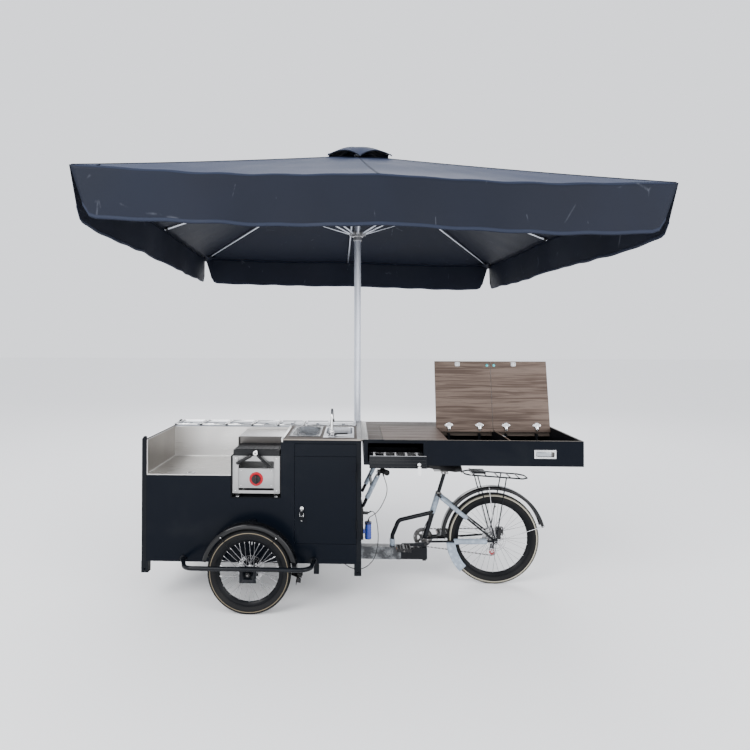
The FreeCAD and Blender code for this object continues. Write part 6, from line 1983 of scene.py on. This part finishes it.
def cog_stack():
    part = Shape()
    at = AXLES["rear"]
    for i, (radius, teeth) in enumerate(((0.055, 27), (0.05, 25), (0.045, 22), (0.04, 20), (0.035, 17))):
        y = MIDDLE + 0.036 + 0.005 * i
        spot = vec(at.x, y, at.z)
        part.add(toothed(spot, radius - 0.0028, radius + 0.0036, teeth, 0.0018, radius - 0.012), "plated")
        hole = slab([vec(at.x + px, y - 0.0008, at.z + pz) for px,
            pz in ((0.015, -0.0035), (radius - 0.011, -0.0028), (radius - 0.011, 0.0028),
            (0.015, 0.0035))], (0, 0.0016, 0))
        part.copy(hole, "dark_steel", spread(spot, 7, 0.2 * i))
    part.add(turned([(0.0151, -0.02), (0.024, -0.02), (0.0246, 0), (0.0205, 0.001), (0.0205, 0.003),
        (0.0151, 0.003)], (at.x, MIDDLE + 0.058, at.z), SIDEWAYS, 40, shut=True), "dark_steel")
    part.done("cog_stack", "cogs", "cog_steel", ["cassette"], 40)


def changer():
    at = AXLES["rear"]
    px, pz = at.x + 0.008, at.z - 0.118
    part = Shape()
    spot = vec(px, CHAIN_Y, pz)
    part.add(toothed(spot, 0.0165, 0.0205, 11, 0.0026, 0.006), "red_anodised")
    part.add(turned([(0, 0.0046), (0.0052, 0.0046), (0.0062, 0.003), (0.0062, -0.003), (0, -0.003)], spot,
        SIDEWAYS, 24), "plated")
    cage = [(px - 0.012, pz - 0.014), (px + 0.01, pz - 0.016), (px + 0.015, pz + 0.006),
        (px + 0.022, at.z - 0.048), (px + 0.016, at.z - 0.032), (px - 0.008, at.z - 0.032),
        (px - 0.01, at.z - 0.06), (px - 0.016, pz + 0.004)]
    part.add(slab([vec(x, CHAIN_Y + 0.0072, z) for x, z in cage], (0, 0.0024, 0), 0.0008), "hard_plastic")
    part.add(slab([vec(x, CHAIN_Y + 0.0098, z) for x,
        z in ((px - 0.002, pz + 0.014), (px + 0.006, pz + 0.012), (px + 0.013, at.z - 0.05),
        (px + 0.006, at.z - 0.048))], (0, 0.0005, 0)), "red_anodised")
    y0, y1 = CHAIN_Y + 0.0096, MIDDLE + 0.0645
    part.add(block((px - 0.014, min(y0, y1), at.z - 0.06), (px + 0.024, max(y0, y1), at.z - 0.018), 0.004,
        3), "hard_plastic")
    part.add(block((px - 0.006, y1 - 0.0006, at.z - 0.052), (px + 0.018, y1 + 0.0014, at.z - 0.03),
        0.001), "red_anodised")
    part.add(screw((px + 0.005, y1 + 0.001, at.z - 0.026), SIDEWAYS, 0.005, 0.002), "plated")
    part.add(rod(spot - SIDEWAYS * 0.001, spot + SIDEWAYS * 0.0108, 0.0042, 14), "plated")
    part.done("changer_parts", "bike", "mech_black", ["derailleur"], 40)


def bike_hardware():
    part = Shape()
    at = AXLES["rear"]
    for side in (-1, 1):
        y = MIDDLE + side * (0.064 + 0.024)
        part.add(hex_nut((at.x, MIDDLE + side * 0.0862, at.z), (0, side, 0), 0.0105, 0.0018), "plated")
        part.add(rod((at.x, y - side * 0.002, at.z), (at.x, y, at.z), 0.0066, 18, 0.0058), "plated")
        part.add(turned([(0.0082, -0.004), (0.024, -0.004), (0.025, 0), (0.024, 0.004), (0.0082, 0.004)],
            (CRANK.x, MIDDLE + side * 0.0385, CRANK.z), SIDEWAYS, 40, shut=True), "dark_steel")
    collar = seat_spot(0.605)
    way = (seat_spot(0.7) - seat_spot(0.5)).normalized()
    part.add(turned([(0.016, -0.012), (0.0185, -0.012), (0.0192, -0.008), (0.0192, 0.004),
        (0.0185, 0.006), (0.0131, 0.006)], collar, way, 40), "dark_steel")
    part.add(rod(collar + vec(0.018, -0.012, -0.004), collar + vec(0.018, 0.012, -0.004), 0.0042, 14),
        "plated")
    lever = flowing([collar + vec(0.02, -0.014, -0.004), collar + vec(0.012, -0.022, -0.006),
        collar + vec(-0.012, -0.025, -0.012), collar + vec(-0.03, -0.022, -0.02)], 6)
    part.add(sweep(lever, ring(0.0036, 10, 0.6)), "dark_steel")
    part.done("bike_hardware", "bike", "bike_steel")
    caliper = Shape()
    x, z, y = at.x + 0.034, at.z + 0.062, MIDDLE - 0.058
    caliper.add(turned([(0, 0.004), (0.01, 0.004), (0.0132, 0.002), (0.014, -0.002)],
        (x - 0.004, y, z - 0.004), NEARWARD, 32), "hard_plastic")
    caliper.add(turned([(0, 0.0052), (0.0045, 0.0052), (0.0052, 0.003)], (x - 0.004, y, z - 0.004),
        NEARWARD, 6), "red_anodised")
    screws(caliper, [(x + 0.012, y, z + dz) for dz in (-0.018, 0.019)], NEARWARD, 0.0036)
    caliper.done("caliper_parts", "bike", "caliper_black")
    clip = Shape()
    x0, x1, z = 0.762, 0.858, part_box("rack")[1].z
    for y in (-0.02, 0.02):
        clip.add(sweep(flowing([(x0 - 0.004, MIDDLE + y, z - 0.004), (x0 + 0.006, MIDDLE + y, z + 0.0005),
            (x1 - 0.02, MIDDLE + y, z - 0.001), (x1 + 0.004, MIDDLE + y * 1.3, z - 0.006)], 6),
            ring(0.0028, 8)), "plated")
    for side in (-1, 1):
        coil = [vec(x0 + 0.006 + 0.0058 * math.cos(t * 0.55), MIDDLE + side * (0.026 + 0.0011 * t * 0.55),
            z - 0.005 + 0.0058 * math.sin(t * 0.55)) for t in range(60)]
        clip.add(sweep([p if p.z < z - 0.0006 else vec(p.x, p.y, z - 0.0006) for p in coil],
            ring(0.001, 6)), "plated")
    clip.done("rack_clip_springs", "bike", "rack_wire")


def guard_foam(at):
    """Foam left round the lower front of the wheel: a band beside the tyre that folds over its tread."""
    def place(u, v):
        angle = math.radians(184 + 40 * v)
        bend = min(1, u / 0.62)
        over = max(0, (u - 0.62) / 0.38)
        reach = 0.258 + 0.056 * bend ** 0.9
        side = -0.0335 + 0.024 * over
        lump = 0.0014 * noise.noise(vec(u * 4, v * 9, 2)) + 0.0007 * noise.noise(vec(u * 14, v * 31, 6))
        reach += lump + (0.003 * math.sin(over * math.pi) if over else 0)
        return vec(at.x + reach * math.cos(angle), MIDDLE + side - abs(lump),
            at.z + reach * math.sin(angle))
    return grid(60, 28, place)


def foam_wraps():
    foam = Shape()
    foam.add(wrapped(seat_spot(0.47), seat_spot(0.595), 0.0165, 1, 6), "foam")
    at = AXLES["rear"]
    cross = seat_spot(0.594)
    for side in (-1, 1):
        start = vec(cross.x, MIDDLE + side * 0.033, 0.594)
        end = vec(at.x, MIDDLE + side * 0.069, at.z)
        foam.add(wrapped(start.lerp(end, 0.04), start.lerp(end, 0.5), 0.0115, 3 + side, 9), "foam")
    start, end = vec(CRANK.x, MIDDLE - 0.027, CRANK.z), vec(at.x, MIDDLE - 0.069, at.z)
    foam.add(wrapped(start.lerp(end, 0.42), start.lerp(end, 0.88), 0.015, 6, 9), "foam")
    foam.add(wrapped((0.236, MIDDLE, 0.243), (0.236, MIDDLE, 0.29), 0.0145, 9, 3), "foam")
    foam.add(guard_foam(at), "foam")
    foam.done("foam_on_tubes", "bike", "bike_steel", (), 30)
    bar = Shape()

    def place(u, v):
        x = -0.3 + 0.592 * v
        half_y, half_z, mid_z = 0.0305, 0.043, 0.2005
        a = FULL_TURN * u
        c, s = math.cos(a), math.sin(a)
        grow = 1 / max(abs(c), abs(s)) ** 0.86
        lump = 0.0016 * noise.noise(vec(x * 34, c * 3, s * 3)) + 0.0008 * noise.noise(vec(x * 110, c * 7,
            s * 7))
        return vec(x, MIDDLE + (half_y + lump) * c * grow, mid_z + (half_z + lump) * s * grow)
    bar.add(grid(140, 48, place, closed=True), "grey_film")
    bar.add(block((0.438, MIDDLE - 0.02, 0.148), (0.462, MIDDLE + 0.02, 0.161), 0.003), "rubber")
    bar.done("drawbar_wrap", "bike", "drawbar_steel", (), 30)


class CART_OT_bicycle(bpy.types.Operator):
    """Dresses the bicycle and makes its drive, saddle, rack fittings and foam wraps"""

    bl_idname = "cart.bicycle"
    bl_label = "Bicycle"

    def execute(self, context):
        dress("bike_frame", "frame_gloss", 0.001)
        dress("seat_post", "frame_gloss", 0.001, [("dark_steel", lambda c, n: c.z > 0.733)])
        dress("rack", "frame_gloss", 0)
        dress("brake_caliper", "hard_plastic", 0.0025)
        saddle()
        chain()
        crank_set()
        pedal("pedal_near")
        pedal("pedal_far")
        cog_stack()
        changer()
        bike_hardware()
        foam_wraps()
        return {"FINISHED"}


# ---------------------------------------------------------------- handlebar, cables and pump
def cable_curve(name, points, body):
    """One smooth round line led by given control points."""
    curve = bpy.data.curves.new(name, "CURVE")
    curve.dimensions = "3D"
    curve.resolution_u = 24
    curve.bevel_depth = CABLE_WIDE / 2
    curve.bevel_resolution = 4
    curve.use_fill_caps = True
    spline = curve.splines.new("NURBS")
    spline.points.add(len(points) - 1)
    for point, spot in zip(spline.points, points):
        point.co = (*spot, 1)
    spline.order_u = 3
    spline.use_endpoint_u = True
    curve.materials.append(finish("soft_plastic"))
    piece = bpy.data.objects.new(name, curve)
    bpy.context.scene.collection.objects.link(piece)
    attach(piece, body)
    return piece


def relief(start, after, name, body, long):
    """A tapered, ringed strain relief on a cable's end."""
    start = Vector(start)
    way = (Vector(after) - start).normalized()
    part = Shape()
    part.add(rod(start - way * 0.002, start + way * long, 0.0048, 18, 0.003), "hard_plastic")
    for i in range(5):
        spot = start + way * (0.004 + long * 0.17 * i)
        r = 0.0051 - 0.00032 * i
        part.add(turned([(r - 0.001, -0.0012), (r + 0.0006, -0.0006), (r + 0.0006, 0.0006),
            (r - 0.001, 0.0012)], spot, way, 20), "hard_plastic")
    return part.done(name, body, "cable_black")


CABLE_WIDE = 0.005
SHIFT_ROUTE = [(0.16, -0.612, 0.785), (0.171, -0.62, 0.752), (0.186, -0.636, 0.708),
    (0.182, -0.645, 0.66), (0.162, -0.646, 0.614), (0.142, -0.641, 0.574), (0.118, -0.635, 0.542),
    (0.092, -0.627, 0.52), (0.07, -0.622, 0.508), (0.065, -0.622, 0.4806)]
BRAKE_ROUTE = [(0.066, -0.622, 0.537), (0.092, -0.622, 0.552), (0.11, -0.624, 0.53), (0.12, -0.626, 0.49),
    (0.128, -0.627, 0.432), (0.13, -0.629, 0.374), (0.124, -0.63, 0.318), (0.114, -0.631, 0.276),
    (0.098, -0.632, 0.238), (0.056, -0.635, 0.196), (0.004, -0.64, 0.181), (-0.056, -0.644, 0.196),
    (-0.098, -0.646, 0.232), (-0.108, -0.646, 0.262)]
FRAME_ROUTE = [(0.336, -0.425, 0.22), (0.368, -0.436, 0.228), (0.4, -0.446, 0.272),
    (0.428, -0.449, 0.338), (0.452, -0.448, 0.402), (0.478, -0.438, 0.446), (0.502, -0.421, 0.478)]


def on_grip(c, n):
    return abs(c.y - MIDDLE) > 0.2045 and c.z > 0.79 and c.x > 0.15


def on_clamp(c, n):
    return c.z > 0.78 and 0.12 < c.x < 0.152 and abs(abs(c.y - MIDDLE) - 0.203) < 0.02


def grip_rings():
    part = Shape()
    for side in (-1, 1):
        end = vec(0.178, MIDDLE + side * 0.298, 0.812)
        way = vec(0.03, side * 0.13, 0.016).normalized()
        for i in range(17):
            spot = end - way * (0.01 + 0.005 * i)
            part.add(turned([(0.0158, -0.0018), (0.017, -0.0009), (0.017, 0.0009), (0.0158, 0.0018)],
                spot, way, 32), "rubber")
        part.add(turned([(0.0162, -0.004), (0.0182, -0.002), (0.0182, 0.003), (0.015, 0.006),
            (0, 0.0066)], end + way * 0.008, way, 32), "rubber")
        part.add(turned([(0.0162, -0.003), (0.0188, -0.002), (0.0188, 0.002), (0.0162, 0.003)],
            end - way * 0.095, way, 32), "rubber")
        y = MIDDLE + side * 0.168
        clamp = [(0.0282, y + dy, 0.558 + dz) for dz in (-0.026, 0.026) for dy in (-0.021, 0.021)]
        screws(part, clamp, (1, 0, 0), 0.005, 0.0028)
    part.done("grip_rings", "cart", "bar_steel")
    wrap = Shape()
    for side in (-1, 1):
        low = vec(0.058, MIDDLE + side * 0.168, 0.612)
        high = vec(0.13, MIDDLE + side * 0.168, 0.762)
        wrap.add(wrapped(low, high, 0.0122, 12 + side, 6), "foam")
    wrap.done("foam_on_bar", "cart", "bar_steel", (), 30)


def brake_levers():
    for node, body, side in (("lever_near", "brake_lever_near", -1), ("lever_far", "brake_lever_far", 1)):
        pivot = vec(0.126, MIDDLE + side * 0.222, 0.796)
        part = Shape()
        line = flowing([pivot, pivot + vec(0.004, side * 0.018, -0.001),
            pivot + vec(-0.002, side * 0.045, -0.003), pivot + vec(-0.005, side * 0.074, -0.004),
            pivot + vec(-0.008, side * 0.092, -0.004)], 7)
        part.add(sweep(line, ring(0.0048, 14, 0.62)), "alloy")
        part.add(turned([(0, 0.0058), (0.0066, 0.0058), (0.0078, 0.0046), (0.0078, -0.0046),
            (0.0066, -0.0058), (0, -0.0058)], pivot, UP, 28), "alloy")
        part.add(turned([(0, 0.0072), (0.0032, 0.0072), (0.0038, 0.0058)], pivot, UP, 6), "dark_steel")
        part.add(turned([(0, 0.006), (0.004, 0.0044), (0.0054, 0), (0.004, -0.0044), (0, -0.006)],
            line[-1], UP, 20), "alloy")
        part.done(node + "_blade", body, "lever_alu", [node], 40)


def cables():
    for name, points, body, node, long in (
        ("shift_line", SHIFT_ROUTE, "cart", "shift_cable", 0.355),
        ("brake_line", BRAKE_ROUTE, "cart", "brake_cable", 0.611),
        ("frame_line", FRAME_ROUTE, "bike", "frame_cable", 0.324),
    ):
        curve = cable_curve(name, points, body)
        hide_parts(node)
        sleeves = [relief(points[0], points[1], name + "_sleeve_a", body, 0.022),
            relief(points[-1], points[-2], name + "_sleeve_b", body, 0.02)]


def pump():
    dress("water_pump", "blue_plastic", 0.0015,
        [("frame_satin", lambda c, n: c.x < BOX_RIGHT +
        (0.0302 if abs(c.y + 0.622) > 0.0105 else 0.0145)), ("hard_plastic", lambda c, n: c.z > 0.4785)])
    x, y = 0.065, -0.622
    part = Shape()
    for z in (0.383, 0.398, 0.413, 0.428, 0.443):
        part.add(turned([(0.02, -0.003), (0.0213, -0.002), (0.0213, 0.002), (0.02, 0.003)], (x, y, z), UP,
            40), "blue_plastic")
    part.add(turned([(0, -0.001), (0.017, -0.001), (0.0205, 0.0015), (0.0205, 0.004)], (x, y, 0.3735), UP,
        36), "hard_plastic")
    part.add(turned([(0.0222, 0), (0.0226, 0.003), (0.0222, 0.009), (0.018, 0.012), (0, 0.0125)],
        (x, y, 0.4685), UP, 40), "hard_plastic")
    for i in range(4):
        a = math.pi / 4 + i * math.pi / 2
        screws(part, [(x + 0.016 * math.cos(a), y + 0.016 * math.sin(a), 0.48)], UP, 0.0026)
    screws(part, [(0.034, y + dy, z) for z in (0.384, 0.556) for dy in (-0.018, 0.018)], (1, 0, 0), 0.0038)
    part.done("pump_parts", "cart", "pump_blue")


class CART_OT_controls(bpy.types.Operator):
    """Makes the grips, levers and cables, and dresses the push bar and water pump"""

    bl_idname = "cart.controls"
    bl_label = "Push bar and controls"

    def execute(self, context):
        dress("handlebar", "frame_gloss", 0.0006, [("rubber", on_grip), ("hard_plastic", on_clamp)])
        grip_rings()
        brake_levers()
        cables()
        pump()
        return {"FINISHED"}


# ---------------------------------------------------------------- panel and run
STEPS = (CART_OT_stage, CART_OT_cabinet, CART_OT_tray, CART_OT_sink, CART_OT_grill, CART_OT_counter,
    CART_OT_wheels, CART_OT_fenders, CART_OT_bicycle, CART_OT_controls, CART_OT_parasol)


class CART_PT_panel(bpy.types.Panel):
    """Values and build steps of the cart."""

    bl_label = "Pedal vending cart"
    bl_idname = "CART_PT_panel"
    bl_space_type = "VIEW_3D"
    bl_region_type = "UI"
    bl_category = "Cart"

    def draw(self, context):
        layout = self.layout
        for group in (context.scene.cart_colours, context.scene.cart_sizes):
            column = layout.column(align=True)
            for name in group.__annotations__:
                column.prop(group, name)
        for step in STEPS:
            layout.operator(step.bl_idname)


CLASSES = (CartColours, CartSizes, *STEPS, CART_PT_panel)


def register():
    for item in CLASSES:
        bpy.utils.register_class(item)
    bpy.types.Scene.cart_colours = bpy.props.PointerProperty(type=CartColours)
    bpy.types.Scene.cart_sizes = bpy.props.PointerProperty(type=CartSizes)


def unregister():
    del bpy.types.Scene.cart_sizes
    del bpy.types.Scene.cart_colours
    for item in reversed(CLASSES):
        bpy.utils.unregister_class(item)


def main():
    register()
    for step in STEPS:
        area, name = step.bl_idname.split(".")
        getattr(getattr(bpy.ops, area), name)()


if __name__ == "__main__":
    main()
